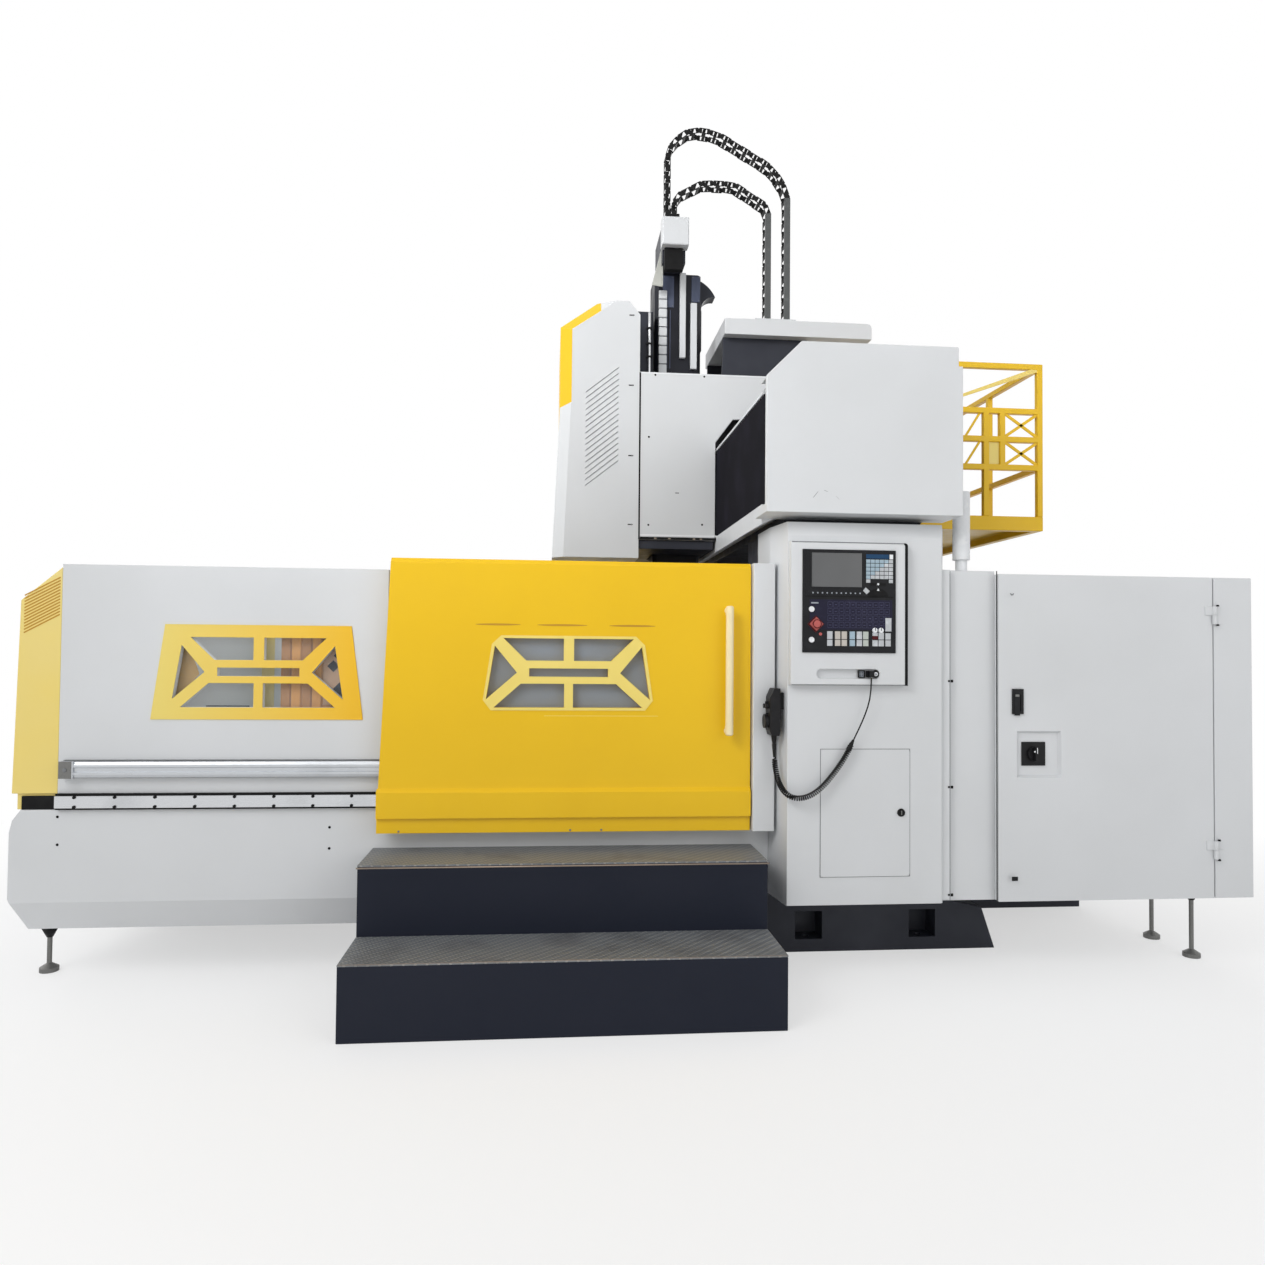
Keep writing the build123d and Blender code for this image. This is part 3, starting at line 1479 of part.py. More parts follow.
parts = {
    "bed": make_bed(),
    "worktable": make_worktable(),
    "way_covers": make_way_covers(),
    "column_near": make_column(-1),
    "column_far": make_column(1),
    "crossbeam": make_crossbeam(),
    "column_cover_near": make_column_cover(-1),
    "column_cover_far": make_column_cover(1),
    "beam_end_covers": make_beam_end_covers(),
    "beam_strips": make_beam_strips(),
    "bellows_near": make_bellows(-1),
    "bellows_far": make_bellows(1),
    "operator_panel": make_operator_panel(),
    "control_unit": make_control_unit(),
    "control_keys": make_control_keys(),
    "pendant_socket": make_pendant_socket(),
    "access_cover": make_access_cover(),
    "duct_housing": make_duct_housing(),
    "cabinet": make_cabinet(),
    "cabinet_plate": make_cabinet_plate(),
    "cabinet_door": make_cabinet_door(),
    "cabinet_hinges": make_cabinet_hinges(),
    "cabinet_fittings": make_cabinet_fittings(),
    "isolator_knob": make_isolator_knob(),
    "conduit_pipe": make_conduit_pipe(),
    "platform_floor": make_platform_floor(),
    "platform_railing": make_platform_railing(),
    "upper_guards": make_upper_guards(),
    "lower_guards": make_lower_guards(),
    "end_wall": make_end_wall(),
    "end_panels": make_end_panels(),
    "window_glass": make_window_glass(),
    "window_plate_near": make_window_plate(),
    "door_track": make_door_track(),
    "door_cylinder": make_door_cylinder(),
    "door_frame": make_door_frame(),
    "sliding_door": make_sliding_door(),
    "door_handle": make_door_handle(),
    "door_glass": make_door_glass(),
    "far_door": make_far_door(),
    "rear_guard": make_rear_guard(),
    "steps": make_steps(),
    "step_treads": make_step_treads(),
    "levelling_feet": make_levelling_feet(),
    "saddle": make_saddle(),
    "saddle_cover": make_saddle_cover(),
    "head_cover": make_head_cover(),
    "head_front": make_head_front(),
    "chain_deck": make_chain_deck(),
    "ram": make_ram(),
    "spindle_nose": make_spindle_nose(),
    "ram_mast": make_ram_mast(),
    "ram_ducts": make_ram_ducts(),
    "chain_outer": make_chain_outer(),
    "chain_inner": make_chain_inner(),
    "pendant": make_pendant(),
    "pendant_cord": make_pendant_cord(),
    "pendant_lead": make_pendant_lead(),
}

for name, solid in parts.items():
    solid.label = name
    export_step(solid, f"parts/{name}.step")
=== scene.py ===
import json
import math

import bmesh
import bpy
from mathutils import Matrix, Vector


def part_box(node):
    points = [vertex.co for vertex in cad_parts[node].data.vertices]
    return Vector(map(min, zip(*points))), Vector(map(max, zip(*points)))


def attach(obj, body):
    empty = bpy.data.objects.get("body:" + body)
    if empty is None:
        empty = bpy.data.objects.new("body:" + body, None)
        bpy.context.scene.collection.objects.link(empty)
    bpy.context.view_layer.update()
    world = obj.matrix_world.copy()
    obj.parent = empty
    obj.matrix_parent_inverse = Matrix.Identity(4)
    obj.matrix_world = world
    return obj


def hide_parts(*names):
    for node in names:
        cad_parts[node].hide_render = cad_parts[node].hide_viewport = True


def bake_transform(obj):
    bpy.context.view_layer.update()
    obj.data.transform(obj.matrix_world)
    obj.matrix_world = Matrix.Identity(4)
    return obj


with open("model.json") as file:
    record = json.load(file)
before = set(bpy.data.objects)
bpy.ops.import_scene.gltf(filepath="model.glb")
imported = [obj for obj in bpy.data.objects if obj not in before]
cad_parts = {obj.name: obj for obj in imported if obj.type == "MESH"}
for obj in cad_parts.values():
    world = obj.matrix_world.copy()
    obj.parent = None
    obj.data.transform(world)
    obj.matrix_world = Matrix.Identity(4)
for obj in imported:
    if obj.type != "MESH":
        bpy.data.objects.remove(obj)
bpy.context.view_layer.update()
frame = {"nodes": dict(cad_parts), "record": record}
nodes = frame["nodes"]
MM = 0.001

# Camera of the photograph: lens and film width in millimetres, place in metres, turns in degrees
LENS = 25.6
FILM_WIDTH = 36
CAMERA_SPOT = (-1.3575, -5.469, 1.400)
CAMERA_YAW = 5.24
CAMERA_PITCH = 1.43
CAMERA_ROLL = 0.5

# Area lights: name, place, aim, size in metres, watts, and spread in degrees where it is narrow
LIGHTS = (
    ("key", (-6.5, -7.0, 6.5), (-1, 0, 1.5), 5, 260),
    ("fill", (4.5, -7.5, 4.0), (0, 0, 1.5), 5, 90),
    ("back", (3.0, 7.0, 6.0), (0, 0, 1.5), 5, 150),
    ("side", (-8.0, 3.0, 4.0), (0, 0, 1.5), 4, 90),
    ("head", (-4.2, -4.4, 4.8), (-0.95, -0.45, 2.9), 2.2, 20, 58),
)
SKY_COLOUR = (0.985, 0.99, 1, 1)
SKY_STRENGTH = 0.59

# Floor: its middle and size, the radii between which it fades into the background,
# and the share of the background's white that it has near the object
FLOOR_MIDDLE = (-0.9, -0.4, -0.0005)
FLOOR_SIZE = 40
FLOOR_FADE = (3.0, 5.5)
FLOOR_LIFT = 0.55

# Route of the pendant's cord and its curly stretch, metres
CORD_ROUTE = (
    (-0.390, -1.648, 1.022), (-0.390, -1.648, 0.905), (-0.360, -1.750, 0.800),
    (-0.240, -1.742, 0.806), (-0.118, -1.729, 0.941), (-0.068, -1.729, 1.041),
    (-0.018, -1.729, 1.141), (0.007, -1.745, 1.235), (0.007, -1.745, 1.313),
)
CORD_RADIUS = 0.0031
CURL_RADIUS = 0.0097
CURL_PITCH = 0.0092
CURL_STEPS = 14
CURL_OPENING = 0.022
CURL_END_STRETCH = 3
CURL_START = 0.050
CURL_END_POINT = 5

# Directions of round bodies
FRONT = (0, -1, 0)
UP = (0, 0, 1)

# How far a plate or stud starts inside its surface, millimetres, and a stud's top as a share of its foot
SINK = 0.4
STUD_TOP = 0.8

# Details read from the photo, millimetres.
# Duct and end cover: catches by height, and marks by x, z, length and tilt in radians
DUCT_CATCHES = (371, 837, 1298)
COVER_MARKS = ((-246, 2086, 34, 0.9), (-202, 2102, 16, -0.4), (-150, 2074, 18, -0.8))

# Cabinet: middle heights of the hinges, and the outline of the small mark on the door
HINGE_HEIGHTS = (554, 1600)
HINGE_Y = -1699
DOOR_MARK = ((643, 1684), (650, 1672), (653, 1678), (656, 1672), (663, 1684), (658, 1684),
             (653, 1680), (648, 1684))

# Sliding door: creases, drawn in painted shade, by their ends, and screws by x
DOOR_CREASES = ((-1677, -1482), (-1414, -1194), (-1103, -898))
DOOR_SCREWS = (-1986, -1128, -1262)

# Guard: screws by x and z, and pitch of the rail's bolts
GUARD_SCREWS = ((-3398, 703), (-3396, 587), (-2290, 650), (-2290, 560))
BOLT_PITCH = 161

# Steps: height and depth of one step
STEP_RISE = 280
STEP_DEPTH = 280

# Head and saddle: screws of the head by height, of the saddle by x and z, marks, and the guide rod
HEAD_SCREWS = (3320, 2921, 2522, 2133)
SADDLE_SCREWS = ((-814, 2631), (-813, 2133), (-507, 2140), (-780, 2985), (-500, 2985))
SADDLE_MARKS = (-780, -700, -560, -520)
ROD_SPOT = (-790, -212)
ROD_CLAMPS = (3238, 3160, 3330)

# Ram: panels by their edges, and strips by x, which end above the saddle's narrow shaft
RAM_PANELS = ((-703, -636, 3495, 3686), (-529, -477, 3533, 3690))
RAM_STRIPS = (-696, -678, -660)
RAM_STRIP_FOOT = 3125

# Platform railing: lower and upper bay by height, ends of the crossed strips, and slanted bars by x
BAYS = ((2350, 2460), (2488, 2600))
CROSSED_X = (856, 1020)
SLANTED_X = (470, 560, 650)

# Middles of the levelling feet, and the height where each one ends
FEET = ((-3518, -1292, 222), (-3518, 1292, 222), (1677, -1443, 340), (1677, -1160, 340))

# Pendant: knobs by height and length
PENDANT_KNOBS = ((1200, 20), (1150, 18), (1105, 20))

# Chains: width and height of the guides at their upright runs
CHAIN_GUIDES = {"chain_outer": (34, 740), "chain_inner": (35, 640)}

# Guard windows about their middle: one half of the openings, the slot in the middle,
# and one half of the outer edge of the sliding door's window frame
WINDOW_HALF = (
    ((22, 148), (281, 148), (183, 52), (22, 52)),
    ((19, -47), (205, -47), (320, -150), (19, -150)),
    ((317, 115), (222, 0), (353, -115)),
)
WINDOW_SLOT = ((-170, 19), (170, 19), (170, -17), (-170, -17))
WINDOW_EDGE = ((290, 160), (330, 122), (366, -118), (332, -162))


def srgb(red, green, blue):
    """Linear colour from screen values of 0 to 255."""
    shares = [c / 255 for c in (red, green, blue)]
    return (*(((s + 0.055) / 1.055) ** 2.4 if s > 0.04045 else s / 12.92 for s in shares), 1)


def shaded(colour, factor, lift=0.0):
    """Darker or lighter version of a linear colour."""
    return (*(min(1, c * factor + lift) for c in colour[:3]), 1)


# Materials; a Finish takes linear colours, and the functions after it take screen values

class Finish:
    """A node material being built: shader, object coordinates and helpers."""

    def __init__(self, name, colour, rough=0.5, metal=0.0, gloss=0.5):
        self.material = bpy.data.materials.new(name)
        self.material.use_nodes = True
        self.tree = self.material.node_tree
        self.shader = self.tree.nodes["Principled BSDF"]
        self.feed(self.shader, {"Base Color": colour, "Roughness": rough, "Metallic": metal,
                                "Specular IOR Level": gloss})
        self.colour = colour
        self.rough = rough
        self.place = self.node("ShaderNodeTexCoord").outputs["Object"]

    def feed(self, node, sockets):
        """Gives sockets of a node a value, or a link from another node's output."""
        for key, value in sockets.items():
            if isinstance(value, bpy.types.NodeSocket):
                self.link(value, node.inputs[key])
            else:
                node.inputs[key].default_value = value

    def node(self, kind, sockets=None, **values):
        made = self.tree.nodes.new(kind)
        for key, value in values.items():
            setattr(made, key, value)
        self.feed(made, sockets or {})
        return made

    def link(self, a, b):
        self.tree.links.new(a, b)

    def stretched(self, scale):
        """Object coordinates scaled differently along X, Y and Z."""
        return self.node("ShaderNodeMapping", {"Scale": scale, "Vector": self.place}).outputs["Vector"]

    def axes(self):
        """Object coordinates as separate X, Y and Z."""
        return self.node("ShaderNodeSeparateXYZ", {"Vector": self.place}).outputs

    def noise(self, scale, detail=4.0, where=None):
        sockets = {"Scale": scale, "Detail": detail, "Vector": where or self.place}
        return self.node("ShaderNodeTexNoise", sockets).outputs["Fac"]

    def ramp(self, value, low, high, out_low=0.0, out_high=1.0):
        sockets = {"Value": value, "From Min": low, "From Max": high, "To Min": out_low, "To Max": out_high}
        return self.node("ShaderNodeMapRange", sockets).outputs["Result"]

    def math(self, operation, a, b=0):
        return self.node("ShaderNodeMath", {0: a, 1: b}, operation=operation).outputs["Value"]

    def tint(self, value, second):
        """Base colour runs from the material's own colour to a second one."""
        mix = self.node("ShaderNodeMix", data_type="RGBA")
        base = self.shader.inputs["Base Color"]
        if base.is_linked:
            self.link(base.links[0].from_socket, mix.inputs["A"])
        else:
            mix.inputs["A"].default_value = self.colour
        mix.inputs["B"].default_value = second
        self.link(value, mix.inputs["Factor"])
        self.link(mix.outputs["Result"], base)

    def roughness(self, value, spread):
        varied = self.ramp(value, 0.3, 0.7, self.rough - spread, self.rough + spread)
        self.link(varied, self.shader.inputs["Roughness"])

    def bump(self, value, strength, distance):
        made = self.node("ShaderNodeBump", {"Strength": strength, "Distance": distance, "Height": value})
        normal = self.shader.inputs["Normal"]
        if normal.is_linked:
            self.link(normal.links[0].from_socket, made.inputs["Normal"])
        self.link(made.outputs["Normal"], normal)


def sheet_paint(name, colour, dusty, rough=0.38, gloss=0.5):
    """Powder coated sheet: fine orange peel, faint cloudy dust and smudges."""
    made = Finish(name, srgb(*colour), rough, 0.0, gloss)
    dusty = srgb(*dusty)
    cloud = made.noise(1.3, 5)
    made.tint(made.ramp(cloud, 0.35, 0.75, 0, 0.55), dusty)
    streaks = made.noise(2.2, 6, made.stretched((1, 1, 0.25)))
    made.tint(made.ramp(streaks, 0.58, 0.8, 0, 0.35), dusty)
    made.roughness(made.noise(7), 0.07)
    made.bump(made.noise(900, 2), 0.12, 0.0004)
    made.bump(made.noise(3.5, 1), 0.10, 0.004)
    return made.material


def cast_paint(name, colour, light):
    """Thick machine paint on a casting."""
    made = Finish(name, srgb(*colour), 0.45, 0.0, 0.22)
    made.tint(made.ramp(made.noise(3, 6), 0.4, 0.75, 0, 0.5), srgb(*light))
    made.roughness(made.noise(9), 0.1)
    made.bump(made.noise(220, 4), 0.25, 0.0008)
    made.bump(made.noise(14, 2), 0.15, 0.003)
    return made.material


def rolled_steel(name, colour, rough, metal=0.9, along=(1, 60, 60)):
    """Bare or plated steel with fine lines along one axis."""
    made = Finish(name, srgb(*colour), rough, metal)
    lines = made.noise(14, 6, made.stretched(along))
    made.roughness(lines, 0.12)
    made.tint(made.ramp(made.noise(4, 4), 0.5, 0.8, 0, 0.5), shaded(made.colour, 0.6))
    made.bump(lines, 0.12, 0.0005)
    return made.material


def moulded(name, colour, rough=0.5):
    """Black or coloured plastic with a fine grain."""
    made = Finish(name, srgb(*colour), rough, 0.0, 0.2)
    made.tint(made.ramp(made.noise(25, 4), 0.55, 0.75, 0, 0.35), shaded(made.colour, 1.8, 0.01))
    made.roughness(made.noise(18), 0.08)
    made.bump(made.noise(1500, 2), 0.2, 0.0003)
    return made.material


def lit_gradient_paint(name, pale, full, start, end):
    """Yellow paint that runs along X, in metres, from a pale end to a full one; the pale end is painted
    light.
    """
    made = Finish(name, srgb(*pale), 0.36, 0.0, 0.35)
    # Painted light: the pale colour at the start along X, the full colour past the end
    made.tint(made.ramp(made.axes()["X"], start, end), srgb(*full))
    made.tint(made.ramp(made.noise(2.2, 6), 0.5, 0.8, 0, 0.4), made.colour)
    made.roughness(made.noise(7), 0.07)
    made.bump(made.noise(900, 2), 0.12, 0.0004)
    return made.material


def tread_plate():
    """Checker plate: crossed raised lozenges in two directions on dull steel."""
    made = Finish("tread_plate", srgb(124, 128, 132), 0.5, 0.4)
    axes = made.axes()
    waves_per_metre = 150
    diagonal, other = (made.math("MULTIPLY", made.math(way, axes["X"], axes["Y"]), waves_per_metre)
                       for way in ("ADD", "SUBTRACT"))
    fine = made.math("SINE", diagonal)
    wide = made.math("SINE", made.math("MULTIPLY", other, 0.5))
    raised = made.ramp(made.math("ABSOLUTE", made.math("MULTIPLY", fine, wide)), 0.45, 0.75)
    made.bump(raised, 0.9, 0.003)
    made.tint(made.math("MULTIPLY", raised, 0.6), srgb(168, 166, 162))
    made.tint(made.ramp(made.noise(6, 6), 0.5, 0.75, 0, 0.6), srgb(96, 96, 98))
    return made.material


def bellows_cloth():
    """Black coated cloth with a fine weave."""
    made = Finish("bellows_cloth", srgb(14, 13, 20), 0.6, 0.0, 0.12)
    weave = made.noise(700, 2)
    made.bump(weave, 0.3, 0.0005)
    made.tint(made.ramp(made.noise(5, 4), 0.45, 0.8, 0, 0.5), srgb(34, 32, 44))
    return made.material


def window_pane(name, colour, clear, cover=1.0):
    """Tinted polycarbonate, a little hazy."""
    made = Finish(name, srgb(*colour), 0.16)
    made.feed(made.shader, {"Transmission Weight": clear, "IOR": 1.3, "Alpha": cover})
    made.roughness(made.noise(3), 0.05)
    made.bump(made.noise(1.5, 1), 0.05, 0.004)
    return made.material


def screen_face():
    """Switched-off display: smooth grey with a soft reflection and a fine pixel grid."""
    made = Finish("screen_face", srgb(82, 83, 84), 0.22)
    made.tint(made.ramp(made.noise(3, 2), 0.35, 0.7, 0, 0.6), srgb(96, 97, 98))
    made.bump(made.noise(2500, 1), 0.03, 0.0001)
    return made.material


WHITE = sheet_paint("white_sheet", (211, 213, 215), (197, 199, 200))
YELLOW = sheet_paint("yellow_paint", (231, 187, 18), (222, 177, 14), 0.38, 0.35)
PALE_YELLOW = sheet_paint("pale_yellow_paint", (232, 206, 104), (226, 210, 150), 0.36)
# Window plate paler towards its left end: painted light
WINDOW_YELLOW = lit_gradient_paint("window_plate_paint", (230, 208, 112), (234, 184, 40), -3.0, -2.2)
RIM_YELLOW = sheet_paint("rim_yellow_paint", (234, 212, 116), (224, 200, 90), 0.36)
# Deeper yellow, also used as painted shade in the door's creases and the vent slits
DEEP_YELLOW_AND_SHADE = sheet_paint("deep_yellow_and_painted_shade", (190, 140, 22), (176, 128, 20), 0.4)
STEP_BLUE = sheet_paint("step_paint", (29, 33, 45), (38, 41, 52), 0.45, 0.15)
CASTING = cast_paint("machine_casting", (44, 46, 54), (66, 68, 76))
RAM_PAINT = cast_paint("ram_iron", (18, 19, 26), (46, 48, 58))
TABLE_IRON = rolled_steel("table_iron", (120, 122, 125), 0.42, 0.8)
SHEET_STEEL = rolled_steel("steel_sheet", (168, 170, 173), 0.4, 0.85)
RAIL = rolled_steel("rail_steel", (205, 207, 210), 0.25, 1.0)
ALUMINIUM = rolled_steel("rail_aluminium", (196, 199, 203), 0.36, 0.75)
BRIGHT = rolled_steel("bright_steel", (205, 206, 208), 0.2, 1.0)
ZINC = rolled_steel("zinc_steel", (120, 120, 118), 0.5, 0.8, (8, 8, 8))
ZINC_SHEET = rolled_steel("zinc_sheet", (178, 180, 176), 0.45, 0.8, (6, 6, 6))
TREAD = tread_plate()
BELLOWS = bellows_cloth()
# Amber in a lit and a shaded copy: painted light and shade on the ribs behind the window
AMBER = sheet_paint("amber_lit_sheet", (226, 152, 20), (200, 130, 18), 0.4)
SHADED_AMBER = sheet_paint("amber_painted_shade", (186, 118, 14), (160, 98, 14), 0.45)
PINKISH = sheet_paint("pale_brown_sheet", (196, 152, 116), (176, 132, 96), 0.45)
BLACK = moulded("black_plastic", (22, 22, 24), 0.45)
PANEL = moulded("black_panel", (20, 21, 24), 0.4)
CHAIN = moulded("chain_plastic", (20, 20, 20), 0.55)
CHAIN_GREY = moulded("chain_side_plastic", (86, 88, 88))
KEYS = moulded("key_caps", (184, 187, 190))
TUBE = moulded("white_tube", (222, 224, 226), 0.3)
PANE = window_pane("window_pane", (190, 202, 204), 0.0, 0.13)
DOOR_PANE = window_pane("door_pane", (152, 160, 170), 0.4)
RUBBER = moulded("cord_jacket", (20, 20, 20))
SCREEN = screen_face()
NAVY = moulded("navy_membrane", (24, 23, 44), 0.45)
FAINT = moulded("faint_print", (66, 66, 92))
SALMON = moulded("salmon_plastic", (178, 92, 88), 0.4)
DARK_RED = moulded("dark_red_plastic", (72, 12, 15), 0.45)
SHADE = moulded("shade_line", (120, 122, 124), 0.6)
RAM_BLUE = cast_paint("ram_blue_panel", (66, 72, 92), (112, 120, 140))
NOSING = rolled_steel("nosing_steel", (150, 136, 124), 0.45, 0.6)
BLUE_TINT = moulded("blue_key_caps", (158, 178, 190))
WARM_KEYS = moulded("warm_key_caps", (190, 184, 176))
GREEN_KEYS = moulded("green_key_caps", (182, 188, 180))
PLATE_GREY = sheet_paint("plate_grey", (190, 191, 184), (168, 170, 164))
BLUE_KEYS = moulded("blue_keys", (24, 62, 96), 0.45)
GREY_KEYS = moulded("grey_keys", (150, 156, 164))
# Pale plastic for white keys, knobs and marks, and painted highlight on the saddle cover's top flange
PALE_PLASTIC_AND_HIGHLIGHT = moulded("pale_plastic_and_highlight", (228, 230, 232), 0.6)
# Near black for dark parts and seams, and painted shadow in the gaps round the guard's rail
DARK_SEAM_AND_SHADE = moulded("dark_seam_and_painted_shade", (12, 12, 13), 0.7)
CREAM = sheet_paint("cream_paint", (238, 222, 178), (220, 204, 160), 0.35)

# Record slot of a CAD node to its material, which mostly has the slot's name
SLOT_MATERIALS = {made.name.split(".")[0]: made for made in (
    CASTING, WHITE, YELLOW, STEP_BLUE, SHEET_STEEL, TABLE_IRON, RAM_PAINT, BRIGHT, RAIL, ALUMINIUM,
    ZINC_SHEET, ZINC, BELLOWS, BLACK, PANEL, KEYS, CHAIN, TUBE, RUBBER)}
SLOT_MATERIALS.update(tread_steel=TREAD, window_glass=PANE)

# Nodes that look different from their slot, and nodes with softened edges
SPECIAL = {
    "door_handle": CREAM, "isolator_knob": BLACK, "chain_deck": WHITE, "end_panels": PALE_YELLOW,
    "window_plate_near": WINDOW_YELLOW, "door_glass": DOOR_PANE, "levelling_feet": ZINC,
}
BEVELLED = (
    "bed", "worktable", "column_near", "column_far", "crossbeam", "column_cover_near", "column_cover_far",
    "beam_end_covers", "operator_panel", "control_unit", "duct_housing", "cabinet", "cabinet_door",
    "platform_floor", "platform_railing", "upper_guards", "lower_guards", "end_wall", "end_panels",
    "window_plate_near", "door_frame", "sliding_door", "far_door", "rear_guard", "steps", "saddle",
    "saddle_cover", "head_cover", "head_front", "chain_deck", "ram", "ram_ducts",
)


def dress_nodes():
    """Gives every CAD node its material, and the large sheets softened edges."""
    slots = {row["node"]: row["material_slot"] for row in frame["record"]["subparts"]}
    for name, node in nodes.items():
        node.data.materials.clear()
        node.data.materials.append(SPECIAL.get(name) or SLOT_MATERIALS[slots[name]])
        if name in BEVELLED:
            soften(node, 0.003)


def soften(node, width):
    """Joins split corners, clears flat triangles and rounds the sharp edges."""
    weld = node.modifiers.new("weld", "WELD")
    weld.merge_threshold = 0.00002
    flat = node.modifiers.new("flat", "DECIMATE")
    flat.decimate_type = "DISSOLVE"
    flat.angle_limit = math.radians(0.5)
    bevel = node.modifiers.new("bevel", "BEVEL")
    bevel.width = width
    bevel.segments = 2
    bevel.limit_method = "ANGLE"
    bevel.angle_limit = math.radians(30)
    bevel.harden_normals = True


# Mesh building

def add_object(name, data):
    made = bpy.data.objects.new(name, data)
    bpy.context.scene.collection.objects.link(made)
    return made


class Piece:
    """Collects boxes, prisms and round bodies into one mesh object; all measures in millimetres."""

    def __init__(self, name, material, slot, body="frame", corner=(0, 0, 0)):
        self.name = name
        self.materials = [material]
        self.body = body
        self.slot_name = slot
        self.corner = corner
        self.mesh = bmesh.new()

    def paint(self, faces, material):
        if material is None:
            return
        if material not in self.materials:
            self.materials.append(material)
        for face in faces:
            face.material_index = self.materials.index(material)

    def box(self, low, high, material=None):
        """Box between two corners."""
        size = Vector([h - l for l, h in zip(low, high)]) * MM
        middle = Vector([(h + l) / 2 for l, h in zip(low, high)]) * MM
        place = Matrix.Translation(middle) @ Matrix.Diagonal((*size, 1))
        made = bmesh.ops.create_cube(self.mesh, size=1, matrix=place)
        self.paint({f for v in made["verts"] for f in v.link_faces}, material)

    def prism(self, points, start, end, axis, material=None):
        """Flat outline carried along an axis; its points are in the other two axes."""
        order = {"x": (2, 0, 1), "y": (0, 2, 1), "z": (0, 1, 2)}[axis]
        rings = []
        for level in (start, end):
            ring = []
            for a, b in points:
                spot = (a, b, level)
                ring.append(self.mesh.verts.new(Vector(spot[i] for i in order) * MM))
            rings.append(ring)
        faces = [self.mesh.faces.new(rings[0]), self.mesh.faces.new(rings[1])]
        count = len(points)
        for i in range(count):
            j = (i + 1) % count
            faces.append(self.mesh.faces.new((rings[0][i], rings[0][j], rings[1][j], rings[1][i])))
        bmesh.ops.recalc_face_normals(self.mesh, faces=faces)
        self.paint(faces, material)

    def disc(self, centre, radius, height, direction, sides=24, top_radius=None, material=None):
        """Round body from a centre along a direction."""
        turn = Vector(direction).to_track_quat("Z", "Y").to_matrix().to_4x4()
        place = Matrix.Translation(Vector(centre) * MM) @ turn @ Matrix.Translation((0, 0, height * MM / 2))
        made = bmesh.ops.create_cone(
            self.mesh, cap_ends=True, segments=sides, radius1=radius * MM, depth=height * MM,
            radius2=(radius if top_radius is None else top_radius) * MM, matrix=place)
        faces = {f for v in made["verts"] for f in v.link_faces}
        for face in faces:
            face.smooth = len(face.verts) == 4
        self.paint(faces, material)

    def plate(self, x0, x1, z0, z1, face, proud, material=None):
        """Thin plate on an upright face that looks at the operator."""
        self.box((x0, face - proud, z0), (x1, face + SINK, z1), material)

    def stud(self, x, z, face, radius, proud, material=None):
        """Low screw head or button on an upright face that looks at the operator."""
        self.disc((x, face + SINK, z), radius, proud + SINK, FRONT, 16, radius * STUD_TOP, material)

    def border(self, x0, x1, z0, z1, face, proud, width, material=None):
        """Four thin strips round a rectangle on an upright face."""
        low, high = z0 + width, z1 - width
        for edges in ((x0, x1, high, z1), (x0, x1, z0, low), (x0, x0 + width, low, high),
                      (x1 - width, x1, low, high)):
            self.plate(*edges, face, proud, material)

    def tube(self, line, radius, sides=10, material=None):
        """Round bar along a list of points."""
        rings = []
        for i, spot in enumerate(line):
            ahead = Vector(line[min(i + 1, len(line) - 1)]) - Vector(line[max(i - 1, 0)])
            side = ahead.cross(Vector((0, 1, 0.001))).normalized()
            up = side.cross(ahead).normalized()
            ring = []
            for k in range(sides):
                turn = 2 * math.pi * k / sides
                offset = (side * math.cos(turn) + up * math.sin(turn)) * radius
                ring.append(self.mesh.verts.new((Vector(spot) + offset) * MM))
            rings.append(ring)
        faces = [self.mesh.faces.new(rings[0]), self.mesh.faces.new(rings[-1])]
        for a, b in zip(rings, rings[1:]):
            for k in range(sides):
                j = (k + 1) % sides
                face = self.mesh.faces.new((a[k], a[j], b[j], b[k]))
                face.smooth = True
                faces.append(face)
        bmesh.ops.recalc_face_normals(self.mesh, faces=faces)
        self.paint(faces, material)

    def finish(self, bevel=0.0):
        mesh = bpy.data.meshes.new(self.name)
        bmesh.ops.translate(self.mesh, vec=Vector(self.corner) * MM, verts=self.mesh.verts)
        self.mesh.to_mesh(mesh)
        self.mesh.free()
        for material in self.materials:
            mesh.materials.append(material)
        made = add_object(self.name, mesh)
        if bevel:
            modifier = made.modifiers.new("bevel", "BEVEL")
            modifier.width = bevel * MM
            modifier.segments = 2
            modifier.limit_method = "ANGLE"
            modifier.angle_limit = math.radians(35)
        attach(made, self.body)
        return made


# Detail on the CAD model

def span(node):
    """Lowest and highest corner of a CAD node at rest, in millimetres."""
    low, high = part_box(node)
    return Vector(low) / MM, Vector(high) / MM


def diamond(x, z, reach):
    """Square outline that stands on one corner."""
    return [(x - reach, z), (x, z - reach), (x + reach, z), (x, z + reach)]


def arc(x, z, reach_x, reach_z, angles):
    """Points of an ellipse about its middle, at angles in degrees."""
    return [(x + reach_x * math.cos(math.radians(a)), z + reach_z * math.sin(math.radians(a)))
            for a in angles]


def window_outlines(x, z):
    """Seven openings of a guard window about its middle."""
    outlines = []
    for shape in WINDOW_HALF:
        for side in (-1, 1):
            outlines.append([(x + side * px, z + pz) for px, pz in shape])
    outlines.append([(x + px, z + pz) for px, pz in WINDOW_SLOT])
    return outlines


